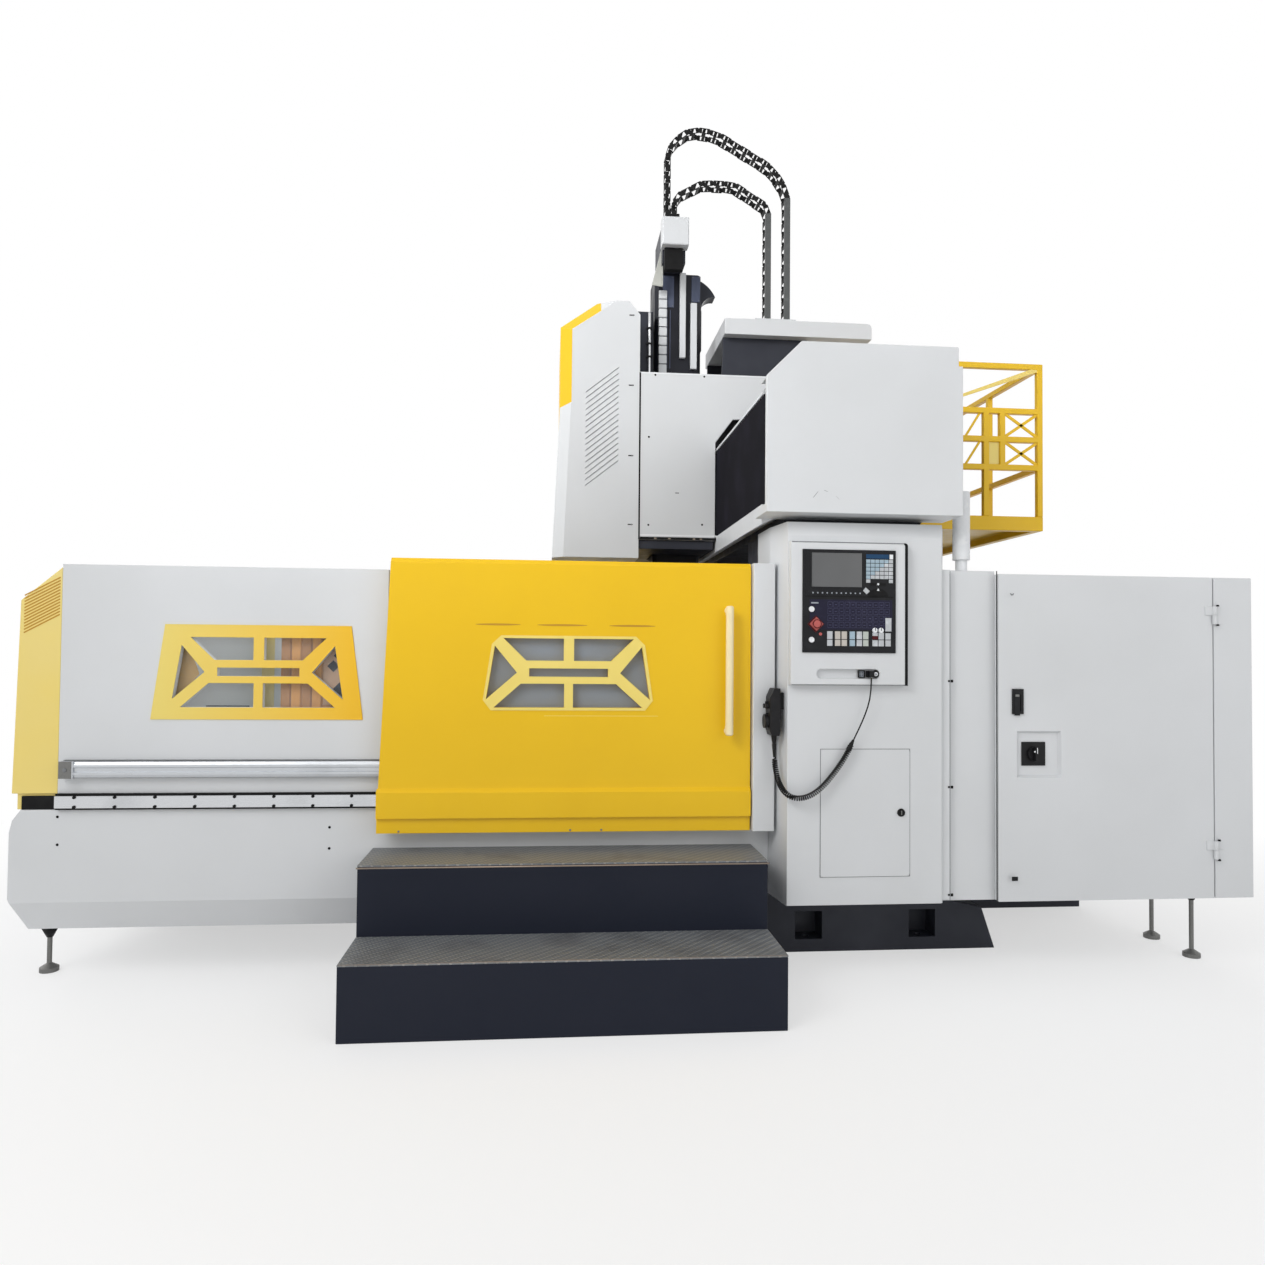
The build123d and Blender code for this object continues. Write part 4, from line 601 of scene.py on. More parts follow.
def pierced_plate(name, outline, holes, face, proud, material, body):
    """Flat plate with openings, on an upright face that looks at the operator."""
    data = bpy.data.curves.new(name, "CURVE")
    data.dimensions = "2D"
    data.fill_mode = "BOTH"
    data.extrude = proud / 2 * MM
    for points in (outline, *holes):
        spline = data.splines.new("POLY")
        spline.points.add(len(points) - 1)
        for spot, (x, z) in zip(spline.points, points):
            spot.co = (x * MM, z * MM, 0, 1)
        spline.use_cyclic_u = True
    curve = add_object(name + "_outline", data)
    mesh = bpy.data.meshes.new_from_object(curve)
    bpy.data.objects.remove(curve)
    upright = Matrix.Rotation(math.radians(90), 4, "X")
    mesh.transform(Matrix.Translation((0, (face - proud / 2) * MM, 0)) @ upright)
    mesh.name = name
    mesh.materials.append(material)
    made = add_object(name, mesh)
    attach(made, body)


# Push buttons of the control unit: distance from its left edge and colour; the first six have a tall
# button above them, the next two a knob, and one of these a red button
BUTTONS = ((106, KEYS), (140, WARM_KEYS), (169, WARM_KEYS), (204, BLUE_TINT), (235, KEYS),
           (263, GREEN_KEYS), (304, KEYS), (331, KEYS), (361, KEYS))
TALL_COUNT = 6
KNOB_BUTTONS = (6, 7)
RED_BUTTON = 6


def add_control_keys():
    """Keys, buttons and screen of the control unit, in places about its upper left front corner."""
    low, top = span("control_unit")
    corner = (low.x, low.y, top.z)
    keys = Piece("control_key_set", KEYS, "key_caps", corner=corner)
    for add in (keypad, jog_and_soft_keys, membrane_keys, push_buttons, round_buttons):
        add(keys)
    made = keys.finish(0.5)
    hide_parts("control_keys")
    screen = Piece("control_screen", SCREEN, "black_panel", corner=corner)
    screen_and_frames(screen)
    screen.finish(0.4)


def keypad(keys):
    """Block of small keys under a blue bar and a white key."""
    pad_x, pad_z = 276, -40
    pitch_x, pitch_z, gap = 20, 17, 2.5
    count = 6
    keys.plate(pad_x, pad_x + 100, pad_z + 4, pad_z + 22, 0, 1.2, BLUE_KEYS)
    keys.plate(pad_x + 103, pad_x + 118, pad_z + 2, pad_z + 22, 0, 2.4, PALE_PLASTIC_AND_HIGHLIGHT)
    for column in range(count):
        for row in range(count):
            if row == count - 1 and 0 < column < count - 1:
                continue
            x = pad_x + column * pitch_x
            z = pad_z - (row + 1) * pitch_z + 2
            tint = BLUE_TINT if row + column < 5 else KEYS
            keys.plate(x, x + pitch_x - gap, z, z + pitch_z - gap, 0, 2.2, tint)


def jog_and_soft_keys(keys):
    """Dark bar, fan and tilted key under the keypad, and the row of soft keys under the screen."""
    x, z = 328, -146
    keys.plate(x - 33, x + 33, z - 6, z + 6, 0, 3.4, DARK_SEAM_AND_SHADE)
    keys.stud(x, z, -3.4, 5, 1.2, PALE_PLASTIC_AND_HIGHLIGHT)
    keys.prism(arc(x, z - 52, 44, 34, range(0, 181, 15)), -2.6, SINK, "y", DARK_SEAM_AND_SHADE)
    keys.prism([(x - 6, z - 28), (x + 6, z - 28), (x, z - 17)], -3.6, -2.4, "y", PALE_PLASTIC_AND_HIGHLIGHT)
    tilted = [(x - 66, z - 28), (x - 50, z - 44), (x - 36, z - 30), (x - 54, z - 14)]
    keys.prism(tilted, -2.2, SINK, "y", KEYS)
    count, pitch, proud = 11, 20.5, 1.6
    for i in range(count):
        x = 36 + i * pitch
        keys.plate(x, x + 16, -193, -179, 0, proud, PANEL)
        keys.plate(x + 5, x + 11, -189, -183, -proud, 0.3, GREY_KEYS)


def membrane_keys(keys):
    """Dark blue field with a grid of faint framed marks."""
    field, thick = -342, 0.8
    columns, rows, pitch_x, pitch_z = 11, 4, 25, 29
    keys.plate(30, 392, field, -214, 0, thick, NAVY)
    surface = -thick
    for column in range(columns):
        for row in range(rows):
            x = 108 + column * pitch_x
            z = field + 8 + row * pitch_z
            keys.border(x, x + 21, z, z + 24, surface, 0.4, 1.3, FAINT)
            keys.plate(x + 6, x + 15, z + 10, z + 13, surface, 0.4, FAINT)
    keys.plate(36, 68, -232, -226, surface, 0.4, GREY_KEYS)


def push_buttons(keys):
    """Two rows of push buttons with two small knobs, and the tall key on the right."""
    low, width, proud = -411, 23, 2.4
    for i, (x, tone) in enumerate(BUTTONS):
        keys.plate(x, x + width, low, low + 26, 0, proud, tone)
        upper = DARK_RED if i == RED_BUTTON else tone
        keys.plate(x, x + width, low + 29, low + (62 if i < TALL_COUNT else 56), 0, proud, upper)
        if i in KNOB_BUTTONS:
            keys.plate(x, x + width, low + 44, low + 58, 0, 2.6, KEYS)
            keys.disc((x + 11, SINK, low + 68), 12, 6, FRONT, 24, 10, PALE_PLASTIC_AND_HIGHLIGHT)
            keys.plate(x + 10, x + 12.5, low + 66, low + 79, -5.6, 1, PANEL)
    keys.plate(361, 387, -347, -290, 0, proud, KEYS)


def round_buttons(keys):
    """Two white buttons, the stop button on its diamond, and a small red one."""
    for z in (-256, -386):
        keys.disc((38, SINK, z), 15, 2.4, FRONT, 28, 14, PANEL)
        keys.disc((38, -1.8, z), 12.5, 5, FRONT, 28, 11, PALE_PLASTIC_AND_HIGHLIGHT)
    x, z = 57, -319
    for reach, proud, material in ((37, 1.6, DARK_RED), (29, 14, SALMON)):
        keys.prism(diamond(x, z, reach), -proud, SINK, "y", material)
    keys.disc((x, -13, z), 16, 9, FRONT, 28, 19, DARK_RED)
    keys.disc((x, -21, z), 17, 3, FRONT, 28, 12, SALMON)
    keys.disc((77, SINK, -361), 7, 5, FRONT, 20, 6, SALMON)


def screen_and_frames(screen):
    """Display in its recess with a frame, the unit's own frame and two dark bars."""
    x0, x1 = 39, 259
    z0, z1 = -160, -14
    recess, margin = 2.6, 7
    screen.plate(x0, x1, z0, z1, recess, 1.0)
    screen.border(x0 - margin, x1 + margin, z0 - margin, z1 + margin, 0, 1.4, 6, PANEL)
    screen.border(3, 405, -437, -3, 0, 1.2, 5, PANEL)
    screen.plate(10, 398, -203, -199, 0, 1.0, DARK_SEAM_AND_SHADE)
    screen.plate(14, 26, -196, -26, 0, 1.0, PANEL)


def add_panel_trim():
    """Gaskets of the operator panel, and the connectors in its slot."""
    panel, top = span("operator_panel")
    face, right = panel.y, top.x
    trim = Piece("panel_gaskets", DARK_SEAM_AND_SHADE, "black_plastic")
    seam = [(right - 13, panel.z + 1), (right - 0.5, panel.z + 1), (right - 0.5, top.z - 12),
            (right - 4, top.z - 4), (right - 12, top.z - 1), (right - 20, top.z - 1),
            (right - 13, top.z - 12)]
    trim.prism(seam, face - 1.2, face + SINK, "y")
    trim.plate(panel.x + 4, right - 18, top.z - 4, top.z - 1, face, 0.8, SHADE)
    trim.plate(panel.x + 4, right - 13, panel.z + 1, panel.z + 4, face, 0.8, SHADE)
    trim.finish()

    plug, plug_top = span("pendant_socket")
    slot_depth = 20
    floor = face + slot_depth
    middle = (plug.z + plug_top.z) / 2
    lead_x = CORD_ROUTE[-1][0] / MM
    sockets = Piece("slot_connectors", BLACK, "black_plastic")
    x = lead_x - 35
    sockets.border(x - 15, x + 15, middle - 16, middle + 16, floor, 12, 4)
    sockets.plate(x - 11, x + 11, middle - 12, middle + 12, floor, 4, GREY_KEYS)
    for dx in (-5, 5):
        for dz in (-5, 5):
            sockets.stud(x + dx, middle + dz, floor - 4, 2, 2)
    plug_depth = 19
    sockets.plate(lead_x - 14, lead_x + 14, middle - 14, middle + 14, floor, plug_depth)
    sockets.plate(lead_x - 10, lead_x + 10, middle - 12, middle + 14, floor - plug_depth, 22)
    for i in range(4):
        z = middle - 8 + i * 6
        sockets.plate(lead_x - 11, lead_x + 11, z, z + 3, floor - plug_depth, 19, PANEL)
    x = lead_x + 27
    sockets.disc((x, floor, middle), 16, 12, FRONT, 28, 15)
    sockets.disc((x, floor - 12, middle), 9, 2, FRONT, 24, 8, PALE_PLASTIC_AND_HIGHLIGHT)
    sockets.disc((x, floor - 13.5, middle), 4, 2, FRONT, 16, 4, GREY_KEYS)
    made = sockets.finish(0.6)
    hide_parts("pendant_socket")


def add_housing_trim():
    """Lock, seams and marks of the access plate, duct housing and beam end cover."""
    access, top = span("access_cover")
    cover_face = span("column_cover_near")[0].y
    plate_face = cover_face - 3
    trim = Piece("housing_trim", SHADE, "black_plastic")
    gap = 2.5
    trim.border(access.x - gap, top.x + gap, access.z - gap, top.z + gap, cover_face, 1.2, gap, SHADE)
    lock_x = top.x - 38
    lock_z = (access.z + top.z) / 2
    trim.disc((lock_x, plate_face + SINK, lock_z), 17.5, 6.5, FRONT, 28, 16, DARK_SEAM_AND_SHADE)
    trim.plate(lock_x - 2, lock_x + 2, lock_z - 9, lock_z + 9, plate_face - 6, 1.5, ZINC)
    duct, duct_top = span("duct_housing")
    seam_x = duct.x + 38
    trim.plate(seam_x, seam_x + 2.5, duct.z + 6, duct_top.z - 6, duct.y, 0.8, SHADE)
    for z in DUCT_CATCHES:
        trim.plate(seam_x + 4, seam_x + 14, z - 6, z + 6, duct.y, 4, DARK_SEAM_AND_SHADE)
        trim.plate(seam_x - 8, seam_x - 1, z - 4, z + 4, duct.y, 2, DARK_SEAM_AND_SHADE)
    cabinet = span("cabinet")[0]
    trim.plate(cabinet.x - 5, cabinet.x - 1, duct.z + 2, duct_top.z - 2, duct.y, 1.0, DARK_SEAM_AND_SHADE)
    cover = span("beam_end_covers")[0]
    for x, z, length, tilt in COVER_MARKS:
        dx = length / 2 * math.cos(tilt)
        dz = length / 2 * math.sin(tilt)
        mark = [(x - dx, z - dz), (x + dx, z + dz), (x + dx + 1, z + dz - 2), (x - dx + 1, z - dz - 2)]
        trim.prism(mark, cover.y - 0.3, cover.y + 0.3, "y", SHADE)
    trim.finish()


def add_cabinet_trim():
    """Hinge pins on the cabinet, small marks and latch of its door, and the isolator's mark."""
    low, top = span("cabinet_hinges")
    pins = Piece("cabinet_hinge_pins", DARK_SEAM_AND_SHADE, "black_plastic")
    pin_x = (low.x + top.x) / 2
    reach, length = 40, 7
    for z in HINGE_HEIGHTS:
        for foot in (z - reach - length, z + reach):
            pins.disc((pin_x, HINGE_Y, foot), 6.5, length, UP, 16, 5)
    pins.finish()

    face = span("cabinet_door")[0].y
    trim = Piece("cabinet_door_trim", DARK_SEAM_AND_SHADE, "black_plastic", "cabinet_door")
    lock_proud, latch_proud = 1.6, 1.5
    trim.plate(650, 677, 434, 452, face, lock_proud)
    trim.plate(653, 674, 437, 449, face - lock_proud, 0.3, PANEL)
    trim.prism(DOOR_MARK, face - 0.6, face + 0.3, "y", SHADE)
    latch = span("cabinet_fittings")[0].y
    trim.plate(668, 694, 1150, 1250, latch, latch_proud, PANEL)
    trim.plate(672, 690, 1232, 1242, latch - latch_proud, 1.2, ZINC)
    trim.finish(0.6)

    knob_face = span("isolator_knob")[0].y + 0.3
    mark = Piece("isolator_mark", PALE_PLASTIC_AND_HIGHLIGHT, "key_caps", "isolator_knob")
    mark.disc((754, knob_face, 993), 3.5, 1.2, FRONT, 16, 3.5)
    mark.plate(764.5, 767.5, 984, 1010, knob_face, 0.9)
    mark.finish()


def add_door_trim():
    """Window frame, creases in painted shade, seam, screws, handle feet and runner edge of the sliding
    door.
    """
    handle, handle_top = span("door_handle")
    face = handle_top.y
    low, top = span("sliding_door")
    window_low, window_high = span("door_glass")
    x = (window_low.x + window_high.x) / 2
    z = (window_low.z + window_high.z) / 2
    trim = Piece("door_trim", RIM_YELLOW, "yellow_paint", "sliding_door")
    frame_edge = [(x + px, z + pz) for px, pz in WINDOW_EDGE]
    frame_edge += [(x - px, z + pz) for px, pz in WINDOW_EDGE[::-1]]
    pierced_plate("door_window_frame", frame_edge, window_outlines(x, z), face, 3, RIM_YELLOW,
                  "sliding_door")
    # Creases as thin lenses in a darker yellow: painted shade in the dents
    for x0, x1 in DOOR_CREASES:
        lens = arc((x0 + x1) / 2, top.z - 281, (x1 - x0) / 2, 4.5, range(0, 360, 20))
        trim.prism(lens, face - 0.8, face + 0.3, "y", DEEP_YELLOW_AND_SHADE)
    trim.plate(-1379, -886, top.z - 673, top.z - 671, face, 0.4)
    for screw_x in DOOR_SCREWS:
        trim.stud(screw_x, low.z + 8, face, 5, 1.5, SHADE)
    handle_x = (handle.x + handle_top.x) / 2
    for foot in (handle.z + 18, handle_top.z - 18):
        trim.disc((handle_x, face + 0.3, foot), 15, 3, FRONT, 24, 14, CREAM)
    trim.plate(low.x + 14, top.x - 6, top.z - 1003, top.z - 1000, face, 0.6, DEEP_YELLOW_AND_SHADE)
    trim.finish(0.4)


def add_window_screen():
    """What shows behind the guard's left window: amber ribs in painted light and shade, and a few dark and
    yellow shapes.
    """
    glass, top = span("window_glass")
    inner = Piece("window_inner_screen", SHADED_AMBER, "yellow_paint")
    back = glass.y + 14
    rib_x = (glass.x + top.x) / 2 + 80
    count, pitch, width, depth = 6, 44, 36, 14
    # Every other rib in the lighter amber, the rest in the darker: painted light and shade
    for i in range(count):
        x = rib_x + i * pitch
        rib = [(x, back), (x + width, back), (x + pitch, back + 10), (x + pitch, back + depth),
               (x, back + depth)]
        inner.prism(rib, glass.z + 12, top.z - 6, "z", AMBER if i % 2 else None)
    inner.plate(rib_x + 180, top.x - 4, glass.z + 30, top.z - 20, back - 1, 2, PINKISH)
    for x, z, reach in ((rib_x + 205, top.z - 40, 36), (rib_x + 262, top.z - 96, 40),
                        (rib_x + 222, top.z - 142, 26), (rib_x + 262, glass.z + 88, 52)):
        inner.prism(diamond(x, z, reach), back - 6, back - 3, "y", NAVY)
    sheet = [(glass.x + 6, glass.z + 20), (glass.x + 120, glass.z + 160), (glass.x + 70, top.z - 40),
             (glass.x + 20, top.z - 60)]
    inner.prism(sheet, back, back + 3, "y", DEEP_YELLOW_AND_SHADE)
    inner.plate(glass.x + 150, glass.x + 330, glass.z + 10, glass.z + 26, back + 2, 3, DARK_SEAM_AND_SHADE)
    inner.finish(0.5)


def add_guard_trim():
    """Rail edges and bolts, ends of the cylinder, screws and vents of the operator's side; the dark rail
    edges and the lines along the cylinder are painted shade.
    """
    wall = span("upper_guards")[0].y
    track, track_top = span("door_track")
    trim = Piece("guard_trim", DARK_SEAM_AND_SHADE, "black_plastic")
    # Black strips above and below the rail: painted shadow in the gaps round the rail
    for z0, z1 in ((track_top.z + 0.5, track_top.z + 9), (track.z - 8, track.z - 0.5)):
        trim.plate(track.x, track_top.x, z0, z1, wall, 17)
    for i in range(int((track_top.x - track.x) / BOLT_PITCH)):
        bolt_x = track.x + 79 + i * BOLT_PITCH
        for z in (track.z + 5, track_top.z - 5):
            trim.disc((bolt_x, track.y + 2, z), 7, 7, FRONT, 6, 7)
    shield = span("end_panels")[0]
    trim.box((shield.x + 40, wall + 1, shield.z + 1), (track.x - 1, wall + 18, shield.z + 57))
    cylinder, cylinder_top = span("door_cylinder")
    head_length = 48
    for x in (cylinder.x, cylinder_top.x - head_length):
        trim.plate(x - 1, x + head_length + 1, cylinder.z - 1, cylinder_top.z + 1, cylinder.y, 2, ZINC)
        trim.stud(x + 24, (cylinder.z + cylinder_top.z) / 2, cylinder.y - 2, 9, 4, SHADE)
    # Grey lines above and below the cylinder: painted shade along its edges
    for z in (cylinder.z - 3, cylinder_top.z + 1):
        trim.plate(cylinder.x, cylinder_top.x, z, z + 2.5, wall, 8, SHADE)
    for x, z in GUARD_SCREWS:
        trim.stud(x, z, wall, 6, 2)
    trim.finish(0.4)

    vents = Piece("end_panel_vents", DEEP_YELLOW_AND_SHADE, "yellow_paint")
    (x0, low), (x1, high) = (-3550, 1630), (-3409, 1708)
    count, pitch = 13, 13
    # Darker slits: painted shade in the vent openings
    for drop in range(0, count * pitch, pitch):
        z0, z1 = low - drop, high - drop
        slit = [(x0, z0), (x1, z1), (x1 + 2, z1 - 5), (x0 + 2, z0 - 5)]
        vents.prism(slit, wall - 0.8, wall + 0.3, "y")
    vents.finish()


def add_step_trim():
    """Worn front edges of the treads."""
    low, top = span("step_treads")
    nosing = Piece("step_nosings", NOSING, "tread_steel")
    for front, level in ((low.y, STEP_RISE), (low.y + STEP_DEPTH, top.z)):
        nosing.tube([(low.x + 4, front + 3, level - 2), (top.x - 4, front + 3, level - 2)], 3.2, 8)
    nosing.finish()


def add_head_trim():
    """Screws, seams and marks of the head and saddle covers, a painted highlight on the saddle cover's top
    flange, and the guide rod.
    """
    head = span("head_cover")[0]
    cover, top = span("saddle_cover")
    trim = Piece("head_fasteners", DARK_SEAM_AND_SHADE, "black_plastic", "saddle")
    for z in HEAD_SCREWS:
        trim.plate(-930, -902, z - 3, z + 3, head.y, 1.6)
        trim.stud(-909, z, head.y - 1.0, 5, 2, SHADE)
    for x, z in SADDLE_SCREWS:
        trim.stud(x, z, cover.y, 6, 2.2)
    trim.plate(-662, -640, 2314, 2320, cover.y, 0.6, SHADE)
    trim.plate(cover.x - 2, cover.x + 7, cover.z, top.z - 4, cover.y, 1.0)
    left, right = cover.x + 8, top.x - 4
    # Pale strips near the top and the foot of the saddle cover; the top one is a painted highlight on the
    # cover's top flange
    for z0, z1 in ((top.z - 9, top.z - 4), (cover.z + 22, cover.z + 30)):
        trim.plate(left, right, z0, z1, cover.y, 1.0, PALE_PLASTIC_AND_HIGHLIGHT)
    trim.plate(left, right, cover.z + 1, cover.z + 16, cover.y, 0.8)
    for x in SADDLE_MARKS:
        trim.plate(x, x + 14, cover.z + 3, cover.z + 12, cover.y - 0.8, 0.6, NOSING)
    trim.finish(0.4)

    rod = Piece("guide_rod", BRIGHT, "bright_steel", "saddle")
    rod.disc((*ROD_SPOT, top.z), 9, 429, UP, 20)
    rod.disc((*ROD_SPOT, top.z), 16, 22, UP, 24, 14, BLACK)
    for z in ROD_CLAMPS:
        rod.box((-806, -222, z), (-774, -196, z + 12), BLACK)
    rod.finish(0.5)


def add_ram_trim():
    """Side panels, mast plate and dark caps of the ram."""
    face = span("ram")[0].y
    panels = Piece("ram_side_panels", RAM_BLUE, "ram_iron", "ram")
    proud = 5
    for x0, x1, z0, z1 in RAM_PANELS:
        panels.plate(x0, x1, z0, z1, face, proud)
        for x in (x0 + 7, x1 - 7):
            for z in (z0 + 8, z1 - 8):
                panels.stud(x, z, face - proud, 3.5, 2, ZINC)
    for x in RAM_STRIPS:
        panels.plate(x, x + 5, RAM_STRIP_FOOT, 3480, face, 4)
    panels.finish(0.5)

    fin = Piece("mast_plate", PLATE_GREY, "zinc_sheet", "ram")
    fin.prism([(-723, 3815), (-781, 3588), (-722, 3581)], -236, -230, "y")
    fin.prism([(-722, 3815), (-722, 3581), (-716, 3581), (-716, 3815)], -248, -230, "y")
    fin.finish(0.8)

    duct_top = span("ram_ducts")[1].z
    caps = Piece("mast_block", DARK_SEAM_AND_SHADE, "black_plastic", "ram")
    caps.box((-717, -330, 3645), (-609, -292, duct_top - 168))
    caps.box((-715, -352, duct_top + 1), (-635, -318, duct_top + 24))
    caps.finish(1.5)


def add_platform_trim():
    """Crossed strips, slanted bars, filled square and brace of the platform's barred bay."""
    rail, top = span("platform_railing")
    face = rail.y
    lattice = Piece("platform_lattice", YELLOW, "yellow_paint")
    x0, x1 = CROSSED_X
    half = 9
    for z0, z1 in BAYS:
        for a, b in ((z0, z1), (z1, z0)):
            strip = [(x0, a - half), (x0, a + half), (x1, b + half), (x1, b - half)]
            lattice.prism(strip, face + 4, face + 9, "y")
    lattice.plate(774, 828, *BAYS[0], face + 14, 5, RIM_YELLOW)
    lean, width = 70, 14
    for x in SLANTED_X:
        for z0, z1 in BAYS:
            bar = [(x, z0), (x + lean, z1), (x + lean + width, z1), (x + width, z0)]
            lattice.prism(bar, face + 5, face + 9, "y")
    brace = [(470, 2628), (500, 2628), (top.x - 28, top.z - 40), (top.x - 28, top.z - 14)]
    lattice.prism(brace, face + 2, face + 12, "y", PALE_YELLOW)
    lattice.finish(0.8)


def add_folding_parts():
    """Chains and bellows as mesh copies in place of the stiff CAD nodes, and the chains' guides."""
    for name in ("chain_outer", "chain_inner"):
        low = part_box(name)[0]
        fold(name, "energy_" + name, CHAIN)
    for name in ("bellows_near", "bellows_far"):
        low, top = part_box(name)
        fold(name, name + "_cloth", BELLOWS)
    guides = Piece("chain_guides", CHAIN_GREY, "chain_plastic", "saddle")
    for name, (width, rise) in CHAIN_GUIDES.items():
        low, top = span(name)
        x = top.x - width
        angle = [(x, low.y - 2), (x + 33, low.y - 2), (x + 33, low.y), (x + 2, low.y),
                 (x + 2, low.y + 22), (x, low.y + 22)]
        guides.prism(angle, low.z + 6, low.z + rise, "z")
    guides.finish(0.5)


def fold(node, name, material):
    """Copy of a folding CAD part's mesh with its own material, in place of the hidden CAD node."""
    mesh = nodes[node].data.copy()
    mesh.name = name
    mesh.materials.clear()
    mesh.materials.append(material)
    made = add_object(name, mesh)
    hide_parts(node)
    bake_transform(made)


def add_feet_trim():
    """Dark collars on the levelling feet."""
    collars = Piece("foot_collars", BLACK, "zinc_steel")
    for x, y, z in FEET:
        collars.disc((x, y, z - 74), 13, 42, UP, 24, 34)
        collars.disc((x, y, 16), 30, 10, UP, 24, 14)
    collars.finish()


def add_pendant_trim():
    """Knobs of the handwheel pendant."""
    low, top = span("pendant")
    trim = Piece("pendant_trim", PANEL, "black_plastic")
    middle_y = (low.y + top.y) / 2
    for z, length in PENDANT_KNOBS:
        trim.disc((low.x + 26, middle_y, z), 7, length, (-1, 0, 0), 16, 5)
    trim.finish(0.4)


# Cord

def spline_curve(name, points, radius, steps):
    """Smooth line with the points as control points, as a round cord of a radius."""
    data = bpy.data.curves.new(name, "CURVE")
    data.dimensions = "3D"
    data.resolution_u = steps
    data.bevel_depth = radius
    data.bevel_resolution = 2
    data.use_fill_caps = radius > 0
    spline = data.splines.new("NURBS")
    spline.points.add(len(points) - 1)
    for spot, point in zip(spline.points, points):
        spot.co = (*point, 1)
    spline.order_u = 3
    spline.use_endpoint_u = True
    return add_object(name, data)


class Line:
    """Points along the smooth line of a route, read by distance."""

    def __init__(self, route):
        curve = spline_curve("cord_route", route, 0, 16)
        mesh = bpy.data.meshes.new_from_object(curve)
        self.points = [v.co.copy() for v in mesh.vertices]
        bpy.data.objects.remove(curve)
        bpy.data.meshes.remove(mesh)
        self.marks = [0.0]
        for a, b in zip(self.points, self.points[1:]):
            self.marks.append(self.marks[-1] + (b - a).length)

    def at(self, distance):
        """Point and direction at a distance."""
        for i in range(1, len(self.points)):
            if self.marks[i] >= distance or i == len(self.points) - 1:
                share = (distance - self.marks[i - 1]) / max(1e-9, self.marks[i] - self.marks[i - 1])
                step = self.points[i] - self.points[i - 1]
                return self.points[i - 1] + step * share, step.normalized()

    def nearest(self, point):
        """Distance of the place nearest to a point."""
        gaps = [(p - Vector(point)).length for p in self.points]
        return self.marks[gaps.index(min(gaps))]


def curl(line, start, end):
    """Helix about the line between two distances, which opens and closes at its ends."""
    points = []
    side = Vector((0, 1, 0))
    turn = 0
    distance = start
    while distance < end:
        spot, ahead = line.at(distance)
        side = (side - ahead * side.dot(ahead)).normalized()
        open_share = min(1, (distance - start) / CURL_OPENING, (end - distance) / CURL_OPENING)
        offset = side * math.cos(turn) + ahead.cross(side) * math.sin(turn)
        points.append(spot + offset * CURL_RADIUS * open_share)
        turn += 2 * math.pi / CURL_STEPS
        distance += CURL_PITCH / CURL_STEPS * (1 + CURL_END_STRETCH * (1 - open_share))
    return points


def add_cord():
    """Curly cord of the pendant, which ends as a straight lead in the panel's slot."""
    line = Line(CORD_ROUTE)
    end = line.nearest(CORD_ROUTE[CURL_END_POINT])
    points = [Vector(CORD_ROUTE[0])] + curl(line, CURL_START, end)
    points += [Vector(p) for p in CORD_ROUTE[CURL_END_POINT + 1:]]
    cord = spline_curve("pendant_cable", points, CORD_RADIUS, 3)
    cord.data.materials.append(RUBBER)
    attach(cord, "frame")
    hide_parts("pendant_cord", "pendant_lead")

    relief = Piece("cord_reliefs", RUBBER, "cord_jacket")
    for start, stop, wide, narrow in ((0.0, CURL_START + 0.008, 9, 5), (end + 0.004, end - 0.045, 5, 13)):
        spot = line.at(min(start, stop))[0]
        way = line.at(max(start, stop))[0] - spot
        radii = (wide, narrow) if start < stop else (narrow, wide)
        relief.disc(spot / MM, radii[0], way.length / MM, way, 24, radii[1])
    relief.finish(0.4)


def add_details():
    for add in (add_cord, add_folding_parts, add_control_keys, add_panel_trim, add_housing_trim,
                add_cabinet_trim, add_door_trim, add_window_screen, add_guard_trim, add_step_trim,
                add_head_trim, add_ram_trim, add_platform_trim, add_feet_trim, add_pendant_trim):
        add()


# Light, floor and camera

def make_camera():
    data = bpy.data.cameras.new("camera")
    data.lens = LENS
    data.sensor_width = FILM_WIDTH
    data.clip_end = 100
    camera = add_object("camera", data)
    turn = (
        Matrix.Rotation(math.radians(-CAMERA_YAW), 4, "Z")
        @ Matrix.Rotation(math.radians(90 + CAMERA_PITCH), 4, "X")
        @ Matrix.Rotation(math.radians(CAMERA_ROLL), 4, "Z")
    )
    camera.matrix_world = Matrix.Translation(CAMERA_SPOT) @ turn
    bpy.context.scene.camera = camera


def make_light(name, spot, aim, size, watts, spread=180):
    data = bpy.data.lights.new(name, "AREA")
    data.spread = math.radians(spread)
    data.shape = "SQUARE"
    data.size = size
    data.energy = watts
    light = add_object(name, data)
    light.location = spot
    light.rotation_euler = (Vector(aim) - Vector(spot)).to_track_quat("-Z", "Y").to_euler()


def seen_directly(tree):
    """One where the camera, a mirror or a pane looks at the surface, and nothing for all else."""
    path = tree.nodes.new("ShaderNodeLightPath")
    seen = path.outputs["Is Camera Ray"]
    for ray in ("Is Glossy Ray", "Is Transmission Ray"):
        either = tree.nodes.new("ShaderNodeMath")
        either.operation = "MAXIMUM"
        tree.links.new(seen, either.inputs[0])
        tree.links.new(path.outputs[ray], either.inputs[1])
        seen = either.outputs[0]
    return seen


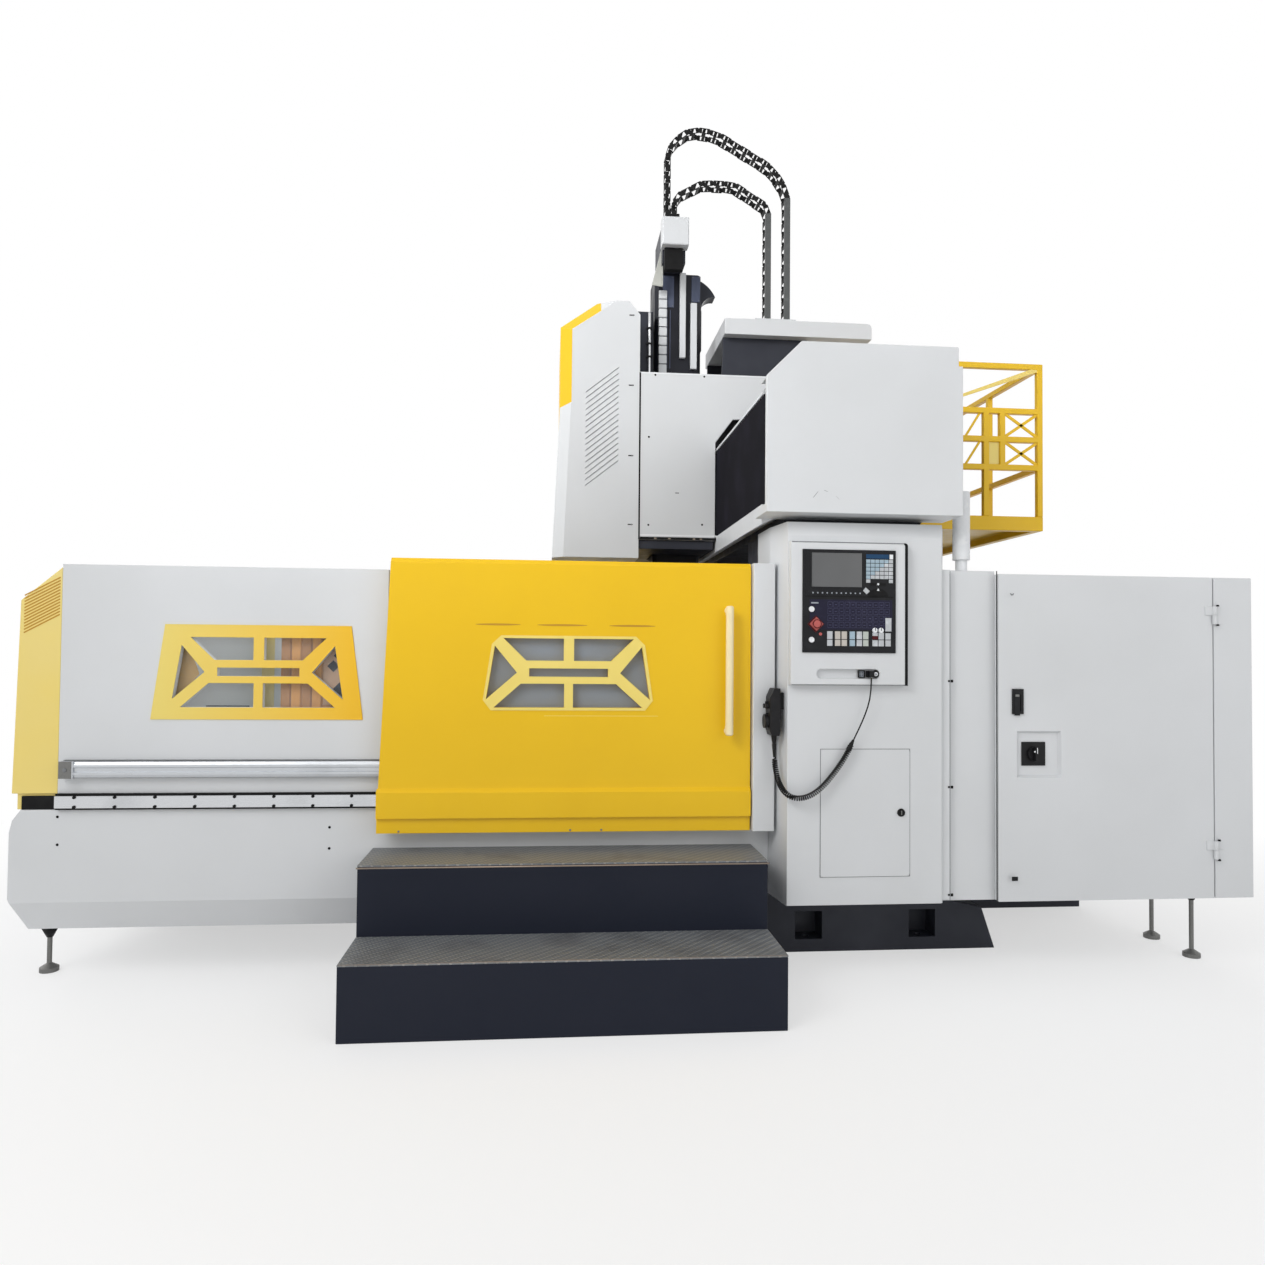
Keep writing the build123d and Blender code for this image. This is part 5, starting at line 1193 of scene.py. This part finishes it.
def make_world():
    """Soft sky light, which the camera, mirrors and panes see as plain white."""
    world = bpy.data.worlds.new("studio")
    bpy.context.scene.world = world
    world.use_nodes = True
    tree = world.node_tree
    soft = tree.nodes["Background"]
    soft.inputs["Color"].default_value = SKY_COLOUR
    soft.inputs["Strength"].default_value = SKY_STRENGTH
    white = tree.nodes.new("ShaderNodeBackground")
    white.inputs["Color"].default_value = (1, 1, 1, 1)
    mix = tree.nodes.new("ShaderNodeMixShader")
    tree.links.new(seen_directly(tree), mix.inputs["Fac"])
    tree.links.new(soft.outputs[0], mix.inputs[1])
    tree.links.new(white.outputs[0], mix.inputs[2])
    tree.links.new(mix.outputs[0], tree.nodes["World Output"].inputs["Surface"])


def make_floor():
    """Pale floor round the object that turns into the white background further out."""
    piece = bmesh.new()
    bmesh.ops.create_grid(piece, x_segments=1, y_segments=1, size=FLOOR_SIZE)
    mesh = bpy.data.meshes.new("floor")
    piece.to_mesh(mesh)
    piece.free()
    floor = add_object("floor", mesh)
    floor.location = FLOOR_MIDDLE
    made = Finish("floor", (0.93, 0.93, 0.93, 1), 0.9)
    made.tint(made.ramp(made.noise(0.6), 0.4, 0.7, 0, 0.3), (0.9, 0.9, 0.9, 1))
    distance = made.node("ShaderNodeVectorMath", operation="LENGTH")
    made.link(made.place, distance.inputs[0])
    faded = made.ramp(made.ramp(distance.outputs["Value"], *FLOOR_FADE), 0, 1, FLOOR_LIFT, 1)
    glow = made.node("ShaderNodeEmission")
    mix = made.node("ShaderNodeMixShader")
    made.link(made.math("MULTIPLY", faded, seen_directly(made.tree)), mix.inputs["Fac"])
    made.link(made.shader.outputs["BSDF"], mix.inputs[1])
    made.link(glow.outputs["Emission"], mix.inputs[2])
    made.link(mix.outputs["Shader"], made.tree.nodes["Material Output"].inputs["Surface"])
    mesh.materials.append(made.material)


dress_nodes()
add_details()
make_world()
for light in LIGHTS:
    make_light(*light)
make_floor()
make_camera()

bpy.context.scene.view_settings.view_transform = "Standard"
